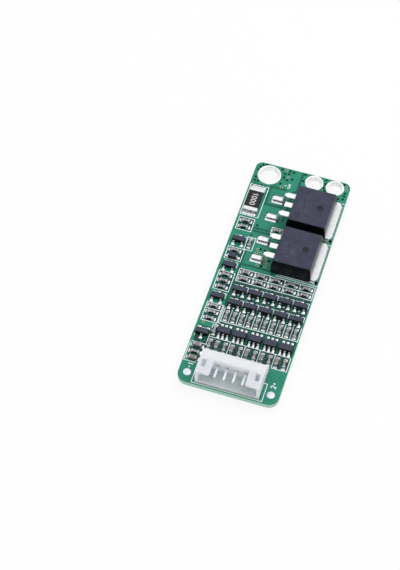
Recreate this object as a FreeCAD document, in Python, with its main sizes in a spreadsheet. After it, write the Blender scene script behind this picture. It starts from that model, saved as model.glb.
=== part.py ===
import FreeCAD, Part
import os
import Sketcher

# Battery management board: a narrow circuit board with two power transistors, a current shunt,
# five rows of small parts, one for each kind, and a six-pin header lying at its lower end.
#
# Frame: the origin is the centre of the board's underside. +X runs along the header, +Y from
# the header towards the heavy terminals, +Z out of the side that carries the parts.
# Across the board, places are stacked from the left edge. Along it, the header, the cell rows
# and the power transistors are stacked from the lower edge, and the left column hangs from the
# large terminal at the upper edge. The board is as long and as wide as the stacks need.

CELL_COUNT = 5
PIN_COUNT = CELL_COUNT + 1
FULL_TURN = 360

# Small round things that repeat are drawn with few sides
FEW_SIDES = 12

# Points nearer than this are the same point
NEAR = 1e-6

# Driving dimensions in millimetres, angles in degrees
SIZES = [
    ("board_thickness", 1.2, "laminate"),
    ("upper_corner_radius", 1.5, "corners beside the heavy terminals"),
    ("lower_corner_radius", 2.2, "corners beside the header"),
    ("land_thickness", 0.05, "copper and tin above the laminate"),
    ("barrel_wall", 0.2, "plating and solder inside a large hole"),
    ("main_hole", 4.4, "large terminal, hole diameter"),
    ("main_pad", 5.4, "large terminal, pad diameter"),
    ("main_top_margin", 0.35, "pad to the upper edge"),
    ("main_side_margin", 0.9, "pad to the left edge"),
    ("pack_hole", 3.2, "pack terminals, hole diameter"),
    ("pack_pad", 4.2, "pack terminals, pad diameter"),
    ("pack_gap", 0.62, "between the two pack pads"),
    ("pack_top_margin", 0.05, "pad to the upper edge"),
    ("pack_side_margin", 1.25, "pad to the right edge"),
    ("sense_pad", 1.75, "wire pads beside the header, diameter"),
    ("sense_side_inset", 1.9, "pad centre to the side edge"),
    ("sense_low_inset", 2.4, "pad centre to the lower edge"),
    ("sense_gap", 1.0, "least gap above them"),
    ("header_setback", 0.5, "header mouth to the lower edge"),
    ("header_shift", 0.1, "header centre to the board's centre line"),
    ("header_end", 1.95, "end pin to the outside of the housing"),
    ("header_height", 4.6, "housing"),
    ("header_cavity", 3.7, "mouth to the inner back wall"),
    ("header_back_wall", 2.2, "wall that holds the pins"),
    ("header_ear", 1.6, "guards behind the back wall"),
    ("header_ear_thickness", 0.7, "each guard"),
    ("header_ear_low", 1.5, "guard's height at its tip"),
    ("header_ear_drop", 0.5, "guard's root below the housing's top"),
    ("header_wall", 0.6, "side walls"),
    ("header_floor", 0.7, "floor"),
    ("header_roof", 0.6, "roof"),
    ("header_arm", 3.1, "roof that is left on each side of the cut-out"),
    ("arm_corner_radius", 0.4, "front corner of each arm"),
    ("window_width", 0.9, "latch window in each arm"),
    ("window_length", 1.8, "latch window, along the pins"),
    ("window_front", 1.6, "latch window to the mouth"),
    ("window_side", 0.67, "latch window to the outside of the housing"),
    ("pin_pitch", 2.0, "header pins"),
    ("pin_size", 0.5, "square pin"),
    ("pin_height", 2.1, "underside of a pin above the housing's seat"),
    ("pin_setback", 0.9, "pin tip to the mouth"),
    ("pin_tail_gap", 0.25, "pin's downward leg to the back wall"),
    ("pin_bend_radius", 0.6, "outside of the bend"),
    ("pin_point", 0.12, "chamfer at both ends"),
    ("tail_length", 1.2, "pin below the laminate"),
    ("header_drill", 0.8, "hole for a pin"),
    ("joint_pad", 1.5, "foot of the solder cone, diameter"),
    ("joint_height", 0.9, "solder cone below the laminate"),
    ("joint_neck", 0.84, "cone's diameter where it meets the tail"),
    ("chip_length", 1.6, "resistor and capacitor"),
    ("chip_width", 0.8, "resistor and capacitor"),
    ("resistor_height", 0.45, "resistor"),
    ("capacitor_height", 0.8, "capacitor"),
    ("chip_cap", 0.32, "end cap along the chip"),
    ("chip_recess", 0.04, "ceramic below the top of its end caps"),
    ("chip_land_gap", 1.3, "between a chip's two lands"),
    ("chip_land_length", 0.8, "one land, along the chip"),
    ("chip_land_width", 0.9, "one land, across the chip"),
    ("shunt_length", 6.4, "current shunt"),
    ("shunt_width", 3.2, "current shunt"),
    ("shunt_height", 0.65, "current shunt"),
    ("shunt_cap", 0.95, "end cap along the shunt"),
    ("shunt_recess", 0.06, "ceramic below the top of its end caps"),
    ("shunt_land_gap", 5.1, "between its two lands"),
    ("shunt_land_length", 1.6, "one land, along the shunt"),
    ("shunt_land_width", 3.4, "one land, across the shunt"),
    ("moulding_draft", 8, "taper of a small moulded body, degrees"),
    ("moulding_standoff", 0.06, "small moulded body above its seat"),
    ("lead_pitch", 0.95, "leads of a small moulded part"),
    ("lead_width", 0.4, "its leads"),
    ("lead_thickness", 0.13, "its leads"),
    ("lead_level", 0.5, "underside of a lead where it leaves the body"),
    ("lead_shoulder", 0.13, "level run before the bend"),
    ("lead_slope", 0.09, "sideways run of the bend"),
    ("transistor_length", 2.9, "small transistor body"),
    ("transistor_width", 1.3, "small transistor body"),
    ("transistor_height", 1.1, "small transistor, over all"),
    ("transistor_foot", 0.33, "lead lying on its land"),
    ("transistor_land_width", 0.8, "one land"),
    ("transistor_land_length", 0.8, "one land, away from the body"),
    ("transistor_land_start", 0.8, "body's centre to the land"),
    ("monitor_width", 1.6, "cell monitor body"),
    ("monitor_height", 1.15, "cell monitor, over all"),
    ("monitor_foot", 0.38, "lead lying on its land"),
    ("monitor_land_width", 0.6, "one land"),
    ("monitor_land_length", 0.95, "one land, away from the body"),
    ("monitor_land_start", 1.0, "body's centre to the land"),
    ("diode_length", 1.7, "diode body"),
    ("diode_width", 1.25, "diode body"),
    ("diode_height", 0.95, "diode, over all"),
    ("diode_foot", 0.24, "lead lying on its land"),
    ("diode_land_width", 0.7, "one land"),
    ("diode_land_length", 0.65, "one land, away from the body"),
    ("diode_land_start", 0.85, "body's centre to the land"),
    ("mosfet_length", 8.9, "power transistor body, from leads to tab"),
    ("mosfet_width", 10.2, "power transistor body and tab"),
    ("mosfet_height", 4.4, "power transistor, over all"),
    ("mosfet_draft", 12, "taper above the leads, degrees"),
    ("mosfet_edge", 0.12, "chamfer round the top"),
    ("mosfet_lead_pitch", 2.54, "outer leads to the middle"),
    ("mosfet_lead_width", 0.85, "lead below its shoulder"),
    ("mosfet_lead_thickness", 0.5, "leads"),
    ("mosfet_lead_level", 2.35, "underside of a lead where it leaves the body"),
    ("mosfet_shoulder_width", 1.3, "wide part of a lead"),
    ("mosfet_shoulder", 2.15, "level run of a lead"),
    ("mosfet_slope", 0.5, "sideways run of the bend"),
    ("mosfet_foot", 2.4, "lead lying on its land"),
    ("mosfet_bend_radius", 0.35, "bends in a lead"),
    ("mosfet_stub", 1.75, "cut middle lead"),
    ("tab_thickness", 1.25, "metal plate under the body"),
    ("tab_start", 1.65, "front of the body to the plate"),
    ("tab_overhang", 1.35, "plate beyond the body"),
    ("tab_side_cover", 0.9, "moulding beside the plate"),
    ("tab_corner", 0.9, "cut corners of the plate"),
    ("dimple_radius", 0.7, "round ejector mark"),
    ("dimple_depth", 0.1, "round ejector mark"),
    ("dimple_from_tab", 2.6, "mark to the tab end of the body"),
    ("drain_land_margin", 0.15, "land beyond the plate's end"),
    ("drain_land_side", 0.1, "land beyond the plate's sides"),
    ("gate_land_margin", 0.3, "land beyond a lead's foot"),
    ("gate_land_length", 3.0, "land under a lead"),
    ("gate_land_width", 2.2, "land under a lead"),
    ("shunt_side_margin", 0.6, "shunt's land to the left edge"),
    ("shunt_top_gap", 1.05, "large terminal to the shunt's land"),
    ("column_tight_gap", 0.35, "left column, closest neighbours"),
    ("column_chip_gap", 0.72, "left column, inside a group"),
    ("column_group_gap", 1.3, "left column, between groups"),
    ("column_wide_gap", 1.85, "left column, widest step"),
    ("column_shift", 0.35, "lowest group further to the left"),
    ("side_chip_gap", 0.65, "column to the chip beside it"),
    ("power_gap", 0.7, "that chip to the power transistor's lands"),
    ("power_side_margin", 0.25, "power transistor's land to the right edge"),
    ("gate_chip_gap", 0.2, "gate resistor to the power transistor's body"),
    ("filter_gap", 0.4, "left column to the first filter resistor"),
    ("filter_pitch", 3.3, "filter resistors, and filter capacitors"),
    ("filter_capacitor_offset", 1.6, "from each resistor to the capacitor on its right"),
    ("cell_gap", 0.25, "side chip to the first cell"),
    ("cell_pitch", 3.4, "cells"),
    ("cell_side_margin", 0.55, "last cell to the right edge"),
    ("divider_pitch", 1.7, "two divider resistors of a cell"),
    ("header_rear_gap", 0.8, "header to the filter row"),
    ("filter_row_gap", 0.35, "filter row to the monitors"),
    ("divider_row_gap", 0.75, "monitors to the divider row"),
    ("switch_row_gap", 0.25, "divider row to the lower transistors"),
    ("switch_pair_gap", 0.4, "lower transistors to the upper ones"),
    ("bleed_row_gap", 1.05, "upper transistors to the bleed resistors"),
    ("bleed_pair_gap", 0.8, "between the two bleed rows"),
    ("power_low_gap", 1.25, "bleed resistors to the power transistors"),
    ("power_pair_gap", 1.15, "between the power transistors"),
    ("pack_low_gap", 2.25, "power transistors to the pack terminals"),
]

doc = FreeCAD.newDocument("battery_management_board")
sheet = doc.addObject("Spreadsheet::Sheet", "dims")
layout = doc.addObject("App::VarSet", "layout")
kept = []


def fill_sheet():
    """One row for each driving dimension: its meaning, then its value under its name."""
    for row, (name, size, meaning) in enumerate(SIZES, 1):
        sheet.set(f"A{row}", meaning)
        sheet.set(f"B{row}", str(size))
        sheet.setAlias(f"B{row}", name)
    doc.recompute()


def derive(name, formula):
    """A value worked out from the sheet, kept under its own name in the layout."""
    layout.addProperty("App::PropertyFloat", name)
    layout.setExpression(name, formula)
    layout.recompute()


def value(formula):
    """The present value of a formula."""
    return float(layout.evalExpression(formula))


def bind(thing, formulas):
    """Tie properties of an object to formulas."""
    for prop, formula in formulas.items():
        thing.setExpression(prop, formula)


def at(thing, x="0", y="0", z="0", turn=0):
    """Put an object at a place given by formulas, turned about the vertical."""
    thing.Placement = FreeCAD.Placement(FreeCAD.Vector(), FreeCAD.Vector(0, 0, 1), turn)
    bind(thing, {"Placement.Base.x": x, "Placement.Base.y": y, "Placement.Base.z": z})
    return thing


def keep(thing):
    """Mark an object as a sub-part that is written to a file of its own name."""
    kept.append(thing)
    return thing


def block(name, length, width, height, x="0", y="0", z="0"):
    """A box centred on x and y that stands on z."""
    box = doc.addObject("Part::Box", name)
    bind(box, {"Length": length, "Width": width, "Height": height})
    return at(box, f"{x} - {length} / 2", f"{y} - {width} / 2", z)


def copy(original, name, x="0", y="0", z="0", turn=0):
    """A linked copy of a master object."""
    link = doc.addObject("App::Link", name)
    link.LinkedObject = original
    return at(link, x, y, z, turn)


def group(name, members):
    """Several separate solids under one name."""
    compound = doc.addObject("Part::Compound", name)
    compound.Links = members
    return compound


def new_body(name, x="0", y="0", z="0"):
    return at(doc.addObject("PartDesign::Body", name), x, y, z)


def find_plane(body, role):
    """One of the body's own origin planes."""
    return next(part for part in body.Origin.OriginFeatures if part.Role == role)


def new_sketch(body, name, role, offset="0"):
    """A sketch on one of the body's own origin planes, or raised above it."""
    sketch = body.newObject("Sketcher::SketchObject", f"{body.Name}_{name}")
    sketch.AttachmentSupport = (find_plane(body, role), [""])
    sketch.MapMode = "FlatFace"
    sketch.setExpression("AttachmentOffset.Base.z", offset)
    return sketch


def fix_point(sketch, geometry, end, u, v):
    """Hold a point of a sketch at formulas measured from the sketch's origin."""
    for kind, formula in (("DistanceX", u), ("DistanceY", v)):
        rule = Sketcher.Constraint(kind, -1, 1, geometry, end, value(formula))
        index = sketch.addConstraint(rule)
        sketch.setExpression(f"Constraints[{index}]", formula)


def outline(sketch, corners):
    """A closed outline of straight lines through corners given by formulas."""
    spots = [FreeCAD.Vector(value(u), value(v), 0) for u, v in corners]
    first = sketch.GeometryCount
    for n, spot in enumerate(spots):
        sketch.addGeometry(Part.LineSegment(spot, spots[(n + 1) % len(spots)]))
    for n, (u, v) in enumerate(corners):
        after = first + (n + 1) % len(corners)
        sketch.addConstraint(Sketcher.Constraint("Coincident", first + n, 2, after, 1))
        fix_point(sketch, first + n, 1, u, v)
    return sketch


def rectangle(sketch, u0, u1, v0, v1):
    return outline(sketch, [(u0, v0), (u1, v0), (u1, v1), (u0, v1)])


def circle(sketch, u, v, radius):
    centre = FreeCAD.Vector(value(u), value(v), 0)
    ring = sketch.addGeometry(Part.Circle(centre, FreeCAD.Vector(0, 0, 1), value(radius)))
    fix_point(sketch, ring, 3, u, v)
    index = sketch.addConstraint(Sketcher.Constraint("Radius", ring, value(radius)))
    sketch.setExpression(f"Constraints[{index}]", radius)
    return sketch


def polygon(sketch, u, v, radius):
    """A circle drawn with few sides."""
    step = FULL_TURN / FEW_SIDES
    return outline(sketch, [(f"{u} + {radius} * cos({n * step})", f"{v} + {radius} * sin({n * step})")
                            for n in range(FEW_SIDES)])


def pad(body, sketch, length, both_ways=False, downwards=False, draft=None):
    """Thicken a sketch, towards one side or equally to both, narrowing by a draft angle."""
    feature = body.newObject("PartDesign::Pad", f"{sketch.Name}_pad")
    feature.Profile = sketch
    feature.Reversed = downwards
    feature.SideType = "Symmetric" if both_ways else "One side"
    feature.setExpression("Length", length)
    if draft:
        feature.setExpression("TaperAngle", f"-{draft}")
    doc.recompute()
    return feature


def pocket(body, sketch, depth=None, upwards=False):
    """Cut a sketch out of the body to a depth, or right through, and make sure that it cuts."""
    before = body.Shape.Volume
    feature = body.newObject("PartDesign::Pocket", f"{sketch.Name}_cut")
    feature.Profile = sketch
    feature.Reversed = upwards
    if depth:
        feature.setExpression("Length", depth)
    else:
        feature.Type = "ThroughAll"
        feature.SideType = "Symmetric"
    doc.recompute()
    if body.Shape.Volume >= before:
        raise RuntimeError(f"{feature.Name} cuts nothing")
    return feature


def dress(body, kind, size, chosen):
    """Round or chamfer the edges of the body that a test chooses."""
    base = body.Tip
    names = [f"Edge{n}" for n, edge in enumerate(base.Shape.Edges, 1) if chosen(edge)]
    if not names:
        raise RuntimeError(f"{body.Name} has no edge to {kind}")
    feature = body.newObject(f"PartDesign::{kind}", f"{body.Name}_{kind.lower()}")
    feature.Base = (base, names)
    feature.setExpression("Radius" if kind == "Fillet" else "Size", size)
    doc.recompute()
    return feature


def revolve(body, sketch):
    """Turn a sketch on the XZ plane about the vertical."""
    feature = body.newObject("PartDesign::Revolution", f"{sketch.Name}_turned")
    feature.Profile = sketch
    feature.ReferenceAxis = (sketch, ["V_Axis"])
    feature.Angle = FULL_TURN
    doc.recompute()
    return feature


def row(body, feature, sketch, pitch, count):
    """Repeat a feature along its sketch's horizontal axis."""
    pattern = body.newObject("PartDesign::LinearPattern", f"{feature.Name}_row")
    pattern.Originals = [feature]
    pattern.Direction = (sketch, ["H_Axis"])
    pattern.setExpression("Length", f"{pitch} * {count - 1}")
    pattern.Occurrences = count
    body.Tip = pattern
    doc.recompute()
    return pattern


def is_upright(edge):
    start, end = (vertex.Point for vertex in edge.Vertexes)
    return abs(start.x - end.x) + abs(start.y - end.y) < NEAR


# Places

# Half of what each kind takes up along the left column
HALF_SPAN = {
    "resistor": "dims.chip_land_width / 2",
    "capacitor": "dims.chip_land_width / 2",
    "diode": "dims.diode_width / 2",
    "transistor": "(dims.transistor_land_start + dims.transistor_land_length)",
}

# The left column from top to bottom: name, kind and the gap above it
COLUMN = [
    ("supply_resistor_1", "resistor", "group"),
    ("supply_resistor_2", "resistor", "chip"),
    ("control_transistor_1", "transistor", "wide"),
    ("clamp_resistor", "resistor", "chip"),
    ("clamp_diode", "diode", "chip"),
    ("control_transistor_2", "transistor", "tight"),
    ("bias_resistor_1", "resistor", "tight"),
    ("bias_resistor_2", "resistor", "chip"),
    ("bias_resistor_3", "resistor", "chip"),
    ("control_transistor_3", "transistor", "chip"),
    ("delay_resistor_1", "resistor", "tight"),
    ("delay_resistor_2", "resistor", "chip"),
    ("delay_resistor_3", "resistor", "chip"),
    ("control_transistor_4", "transistor", "wide"),
    ("corner_capacitor_1", "capacitor", "group"),
    ("corner_resistor", "resistor", "chip"),
    ("corner_capacitor_2", "capacitor", "chip"),
]
LOW_GROUP = ("control_transistor_4", "corner_capacitor_1", "corner_resistor", "corner_capacitor_2")


def lay_out_column():
    """Stack the left column downwards from the large terminal and name each centre."""
    derive("column_x", "left_edge + dims.shunt_side_margin + dims.shunt_land_width / 2")
    derive("low_column_x", "column_x - dims.column_shift")
    derive("shunt_half", "dims.shunt_land_gap / 2 + dims.shunt_land_length")
    derive("main_low", "upper_edge - dims.main_top_margin - dims.main_pad")
    derive("shunt_y", "main_low - dims.shunt_top_gap - shunt_half")
    below = "shunt_y - shunt_half"
    for name, kind, gap in COLUMN:
        derive(f"{name}_y", f"{below} - dims.column_{gap}_gap - {HALF_SPAN[kind]}")
        below = f"{name}_y - {HALF_SPAN[kind]}"


def lay_out_board():
    """Work out the board's size from the stacks that it has to hold."""
    derive("chip_reach", "dims.chip_land_gap / 2 + dims.chip_land_length")
    derive("transistor_reach", "dims.transistor_land_start + dims.transistor_land_length")
    derive("monitor_reach", "dims.monitor_land_start + dims.monitor_land_length")
    derive("drain_half", "dims.mosfet_width / 2 + dims.drain_land_side")
    derive("header_depth", "dims.header_cavity + dims.header_back_wall + dims.header_ear")
    derive("header_width", f"dims.pin_pitch * {PIN_COUNT - 1} + 2 * dims.header_end")

    # Heights above the lower edge
    derive("filter_up", "dims.header_setback + header_depth + dims.header_rear_gap + chip_reach")
    derive("monitor_up", "filter_up + chip_reach + dims.filter_row_gap + monitor_reach")
    derive("divider_up", "monitor_up + monitor_reach + dims.divider_row_gap + chip_reach")
    derive("switch_low_up", "divider_up + chip_reach + dims.switch_row_gap + transistor_reach")
    derive("switch_high_up", "switch_low_up + 2 * transistor_reach + dims.switch_pair_gap")
    derive("bleed_low_up", "switch_high_up + transistor_reach + dims.bleed_row_gap"
           " + dims.chip_land_width / 2")
    derive("bleed_high_up", "bleed_low_up + dims.chip_land_width + dims.bleed_pair_gap")
    derive("power_low_up", "bleed_high_up + dims.chip_land_width / 2 + dims.power_low_gap"
           " + drain_half")
    derive("power_high_up", "power_low_up + 2 * drain_half + dims.power_pair_gap")
    derive("right_stack", "power_high_up + drain_half + dims.pack_low_gap + dims.pack_pad"
           " + dims.pack_top_margin")
    column = ["dims.main_top_margin + dims.main_pad + dims.shunt_top_gap",
              "dims.shunt_land_gap + 2 * dims.shunt_land_length",
              "dims.sense_gap + dims.sense_pad / 2 + dims.sense_low_inset"]
    column += [f"dims.column_{gap}_gap + 2 * {HALF_SPAN[kind]}" for name, kind, gap in COLUMN]
    derive("left_stack", " + ".join(column))
    derive("board_length", "max(left_stack; right_stack)")

    # Distances from the left edge
    derive("column_in", "dims.shunt_side_margin + dims.shunt_land_width / 2")
    derive("side_chip_in", "column_in + dims.transistor_length / 2 + dims.side_chip_gap"
           " + dims.chip_land_width / 2")
    derive("mosfet_reach", "dims.mosfet_shoulder + dims.mosfet_slope + dims.mosfet_foot")
    derive("mosfet_in", "side_chip_in + dims.chip_land_width / 2 + dims.power_gap"
           " + dims.gate_land_margin + mosfet_reach")
    derive("tab_length", "dims.mosfet_length - dims.tab_start + dims.tab_overhang")
    derive("power_stack", "mosfet_in + dims.tab_start + tab_length + dims.drain_land_margin"
           " + dims.power_side_margin")
    derive("filter_in", "column_in - dims.column_shift + chip_reach + dims.filter_gap"
           " + dims.chip_land_width / 2")
    derive("cell_in", "filter_in + dims.chip_land_width / 2 + dims.cell_gap"
           " + dims.transistor_length / 2")
    derive("cell_stack", f"cell_in + {CELL_COUNT - 1} * dims.cell_pitch"
           " + dims.transistor_length / 2 + dims.cell_side_margin")
    derive("board_width", "max(power_stack; cell_stack)")


def lay_out():
    """Name every place that the parts share, in the board's own frame."""
    lay_out_board()
    derive("left_edge", "-board_width / 2")
    derive("right_edge", "board_width / 2")
    derive("lower_edge", "-board_length / 2")
    derive("upper_edge", "board_length / 2")
    derive("board_top", "dims.board_thickness")
    derive("seat", "board_top + dims.land_thickness")
    derive("main_x", "left_edge + dims.main_side_margin + dims.main_pad / 2")
    derive("main_y", "upper_edge - dims.main_top_margin - dims.main_pad / 2")
    derive("pack_right_x", "right_edge - dims.pack_side_margin - dims.pack_pad / 2")
    derive("pack_left_x", "pack_right_x - dims.pack_pad - dims.pack_gap")
    derive("pack_y", "upper_edge - dims.pack_top_margin - dims.pack_pad / 2")
    derive("sense_left_x", "left_edge + dims.sense_side_inset")
    derive("sense_right_x", "right_edge - dims.sense_side_inset")
    derive("sense_y", "lower_edge + dims.sense_low_inset")
    derive("mouth_y", "lower_edge + dims.header_setback")
    derive("header_back", "dims.header_cavity + dims.header_back_wall")
    derive("tail_back", "header_back + dims.pin_tail_gap + dims.pin_size / 2")
    derive("tail_y", "mouth_y + tail_back")
    derive("first_pin_x", f"dims.header_shift - dims.pin_pitch * {PIN_COUNT - 1} / 2")
    derive("mosfet_x", "left_edge + mosfet_in")
    derive("side_chip_x", "left_edge + side_chip_in")
    derive("filter_x", "left_edge + filter_in")
    derive("cell_x", "left_edge + cell_in")
    for name in ("filter", "monitor", "divider", "switch_low", "switch_high", "bleed_low",
                 "bleed_high", "power_low", "power_high"):
        derive(f"{name}_y", f"lower_edge + {name}_up")
    lay_out_column()
    doc.recompute()


# Laminate and plated holes

def make_board():
    """The laminate, with corners of two radii and every drilled hole."""
    body = keep(new_body("circuit_board"))
    edges = ("layout.left_edge", "layout.right_edge", "layout.lower_edge", "layout.upper_edge")
    pad(body, rectangle(new_sketch(body, "outline", "XY_Plane"), *edges), "layout.board_top")
    dress(body, "Fillet", "dims.upper_corner_radius",
          lambda edge: is_upright(edge) and edge.Vertexes[0].Y > 0)
    dress(body, "Fillet", "dims.lower_corner_radius",
          lambda edge: is_upright(edge) and edge.Vertexes[0].Y < 0)
    holes = new_sketch(body, "terminal_holes", "XY_Plane")
    large = "dims.main_hole / 2 + dims.barrel_wall"
    medium = "dims.pack_hole / 2 + dims.barrel_wall"
    circle(holes, "layout.main_x", "layout.main_y", large)
    circle(holes, "layout.pack_left_x", "layout.pack_y", medium)
    circle(holes, "layout.pack_right_x", "layout.pack_y", medium)
    pocket(body, holes)
    drill = new_sketch(body, "header_hole", "XY_Plane")
    polygon(drill, "layout.first_pin_x", "layout.tail_y", "dims.header_drill / 2")
    row(body, pocket(body, drill), drill, "dims.pin_pitch", PIN_COUNT)


def make_plated_hole(name, x, y, pad_diameter, hole_diameter):
    """An open plated hole: the barrel through the board and the ring that wires are soldered to."""
    body = keep(new_body(name, x, y))
    inner = f"{hole_diameter} / 2"
    barrel = f"{hole_diameter} / 2 + dims.barrel_wall"
    outer = f"{pad_diameter} / 2"
    top = "layout.board_top"
    rim = "layout.board_top + dims.land_thickness"
    section = outline(new_sketch(body, "section", "XZ_Plane"), [
        (inner, "0"), (barrel, "0"), (barrel, top), (outer, top), (outer, rim), (inner, rim)])
    revolve(body, section)


def make_sense_pads():
    """Two round tinned pads for sense wires, one each side of the header."""
    pads = []
    for side in ("left", "right"):
        body = new_body(f"sense_pad_{side}", f"layout.sense_{side}_x", "layout.sense_y",
                        "layout.board_top")
        disc = circle(new_sketch(body, "disc", "XY_Plane"), "0", "0", "dims.sense_pad / 2")
        pad(body, disc, "dims.land_thickness")
        pads.append(body)
    keep(group("sense_pads", pads))


# Header

def make_header_housing():
    """A side-entry shroud: open mouth, cut-out roof with two arms, latch windows, rear guards."""
    body = keep(new_body("header_housing", "dims.header_shift", "layout.mouth_y", "layout.seat"))
    side = "layout.header_width / 2"
    back = "layout.header_back"
    rectangle(new_sketch(body, "block", "XY_Plane"), f"-{side}", side, "0", back)
    pad(body, doc.getObject(f"{body.Name}_block"), "dims.header_height")

    inside = f"{side} - dims.header_wall"
    ceiling = "dims.header_height - dims.header_roof"
    mouth = new_sketch(body, "mouth", "XZ_Plane")
    rectangle(mouth, f"-({inside})", inside, "dims.header_floor", ceiling)
    pocket(body, mouth, "dims.header_cavity")

    opening = f"{side} - dims.header_arm"
    cut_out = new_sketch(body, "cut_out", "XY_Plane", "dims.header_height")
    rectangle(cut_out, f"-({opening})", opening, "0", "dims.header_cavity")
    pocket(body, cut_out, "dims.header_roof")

    windows = new_sketch(body, "windows", "XY_Plane", "dims.header_height")
    outer = f"{side} - dims.window_side"
    inner = f"{side} - dims.window_side - dims.window_width"
    far = "dims.window_front + dims.window_length"
    rectangle(windows, inner, outer, "dims.window_front", far)
    rectangle(windows, f"-({outer})", f"-({inner})", "dims.window_front", far)
    pocket(body, windows, "dims.header_roof")

    corner = value(opening)
    dress(body, "Fillet", "dims.arm_corner_radius",
          lambda edge: is_upright(edge) and abs(edge.Vertexes[0].Y) < NEAR
          and abs(abs(edge.Vertexes[0].X) - corner) < NEAR)

    level = "dims.pin_height"
    hole = new_sketch(body, "pin_hole", "XZ_Plane")
    first = f"-dims.pin_pitch * {PIN_COUNT - 1} / 2"
    rectangle(hole, f"{first} - dims.pin_size / 2", f"{first} + dims.pin_size / 2",
              level, f"{level} + dims.pin_size")
    row(body, pocket(body, hole, f"{back} + dims.header_ear"), hole, "dims.pin_pitch", PIN_COUNT)

    ear = [(back, "0"), (f"{back} + dims.header_ear", "0"),
           (f"{back} + dims.header_ear", "dims.header_ear_low"),
           (back, "dims.header_height - dims.header_ear_drop")]
    for hand, start in (("right", f"{side} - dims.header_ear_thickness"), ("left", f"-{side}")):
        sketch = outline(new_sketch(body, f"{hand}_ear", "YZ_Plane", start), ear)
        pad(body, sketch, "dims.header_ear_thickness")


def make_header_pins():
    """Square pins that leave the back wall, turn down and pass through the board."""
    low = "dims.pin_height"
    high = "dims.pin_height + dims.pin_size"
    front = "layout.tail_back - dims.pin_size / 2"
    rear = "layout.tail_back + dims.pin_size / 2"
    end = "-(layout.seat + dims.tail_length)"
    for n in range(PIN_COUNT):
        x = f"layout.first_pin_x + {n} * dims.pin_pitch"
        body = keep(new_body(f"header_pin_{n + 1}", x, "layout.mouth_y", "layout.seat"))
        side = outline(new_sketch(body, "side", "YZ_Plane"), [
            ("dims.pin_setback", low), (front, low), (front, end),
            (rear, end), (rear, high), ("dims.pin_setback", high)])
        pad(body, side, "dims.pin_size", both_ways=True)
        bend_y, bend_z = value(rear), value(high)
        dress(body, "Fillet", "dims.pin_bend_radius",
              lambda edge: all(abs(vertex.Y - bend_y) + abs(vertex.Z - bend_z) < NEAR
                               for vertex in edge.Vertexes))
        tip, tail = value("dims.pin_setback"), value(end)
        dress(body, "Chamfer", "dims.pin_point",
              lambda edge: all(abs(vertex.Y - tip) < NEAR for vertex in edge.Vertexes)
              or all(abs(vertex.Z - tail) < NEAR for vertex in edge.Vertexes))


def make_solder_joints():
    """A cone of solder round each tail, under the board."""
    body = new_body("header_joint")
    foot = polygon(new_sketch(body, "foot", "XY_Plane"), "0", "0", "dims.joint_pad / 2")
    prism = pad(body, foot, "dims.joint_height", downwards=True)
    flanks = [f"Face{n}" for n, face in enumerate(prism.Shape.Faces, 1)
              if abs(face.normalAt(0, 0).z) < NEAR]
    cone = body.newObject("PartDesign::Draft", "header_joint_cone")
    cone.Base = (prism, flanks)
    cone.NeutralPlane = (find_plane(body, "XY_Plane"), [""])
    cone.setExpression("Angle", "atan((dims.joint_pad - dims.joint_neck)"
                       " / (2 * dims.joint_height))")
    cone.Reversed = True
    doc.recompute()
    half = "dims.pin_size / 2"
    passage = new_sketch(body, "passage", "XY_Plane")
    pocket(body, rectangle(passage, f"-{half}", half, f"-{half}", half))
    keep(group("header_solder_joints", [
        copy(body, f"header_joint_{n + 1}", f"layout.first_pin_x + {n} * dims.pin_pitch",
             "layout.tail_y") for n in range(PIN_COUNT)]))


# Chips: a ceramic block between two end caps, and its two lands

def make_chip_masters(name, height, size="chip"):
    """Masters of a chip's block, pair of caps and pair of lands, centred on the chip."""
    length, width = f"dims.{size}_length", f"dims.{size}_width"
    cap, recess = f"dims.{size}_cap", f"dims.{size}_recess"
    ceramic = block(f"{name}_ceramic", f"({length} - 2 * {cap})", width,
                    f"{height} - 2 * {recess}", z=recess)
    cap_centre = f"(({length} - {cap}) / 2)"
    land_centre = f"((dims.{size}_land_gap + dims.{size}_land_length) / 2)"
    caps, lands = [], []
    for hand, sign in (("left", "-"), ("right", "")):
        caps.append(block(f"{name}_cap_{hand}", cap, width, height, x=f"{sign}{cap_centre}"))
        lands.append(block(f"{name}_land_{hand}", f"dims.{size}_land_length",
                           f"dims.{size}_land_width", "dims.land_thickness",
                           x=f"{sign}{land_centre}"))
    return {"body": group(f"{name}_master", [ceramic]), "caps": group(f"{name}_caps", caps),
            "lands": group(f"{name}_lands", lands)}


# Small moulded parts: a drafted body, leads that step down to their lands, and the lands

def make_moulding(name, kind, x, y, turn=0, length="dims.transistor_length"):
    """One moulded body: straight up to the top of the leads, then narrowing."""
    body = keep(new_body(name, x, y, "layout.seat"))
    half_length = f"{length} / 2"
    half_width = f"dims.{kind}_width / 2"
    shelf = "dims.lead_level + dims.lead_thickness"
    for part, low, high, draft in (
            ("lower", "dims.moulding_standoff", shelf, None),
            ("upper", shelf, f"dims.{kind}_height", "dims.moulding_draft")):
        sketch = new_sketch(body, part, "XY_Plane", low)
        rectangle(sketch, f"-{half_length}", half_length, f"-{half_width}", half_width)
        pad(body, sketch, f"{high} - ({low})", draft=draft)
    return body


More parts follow.
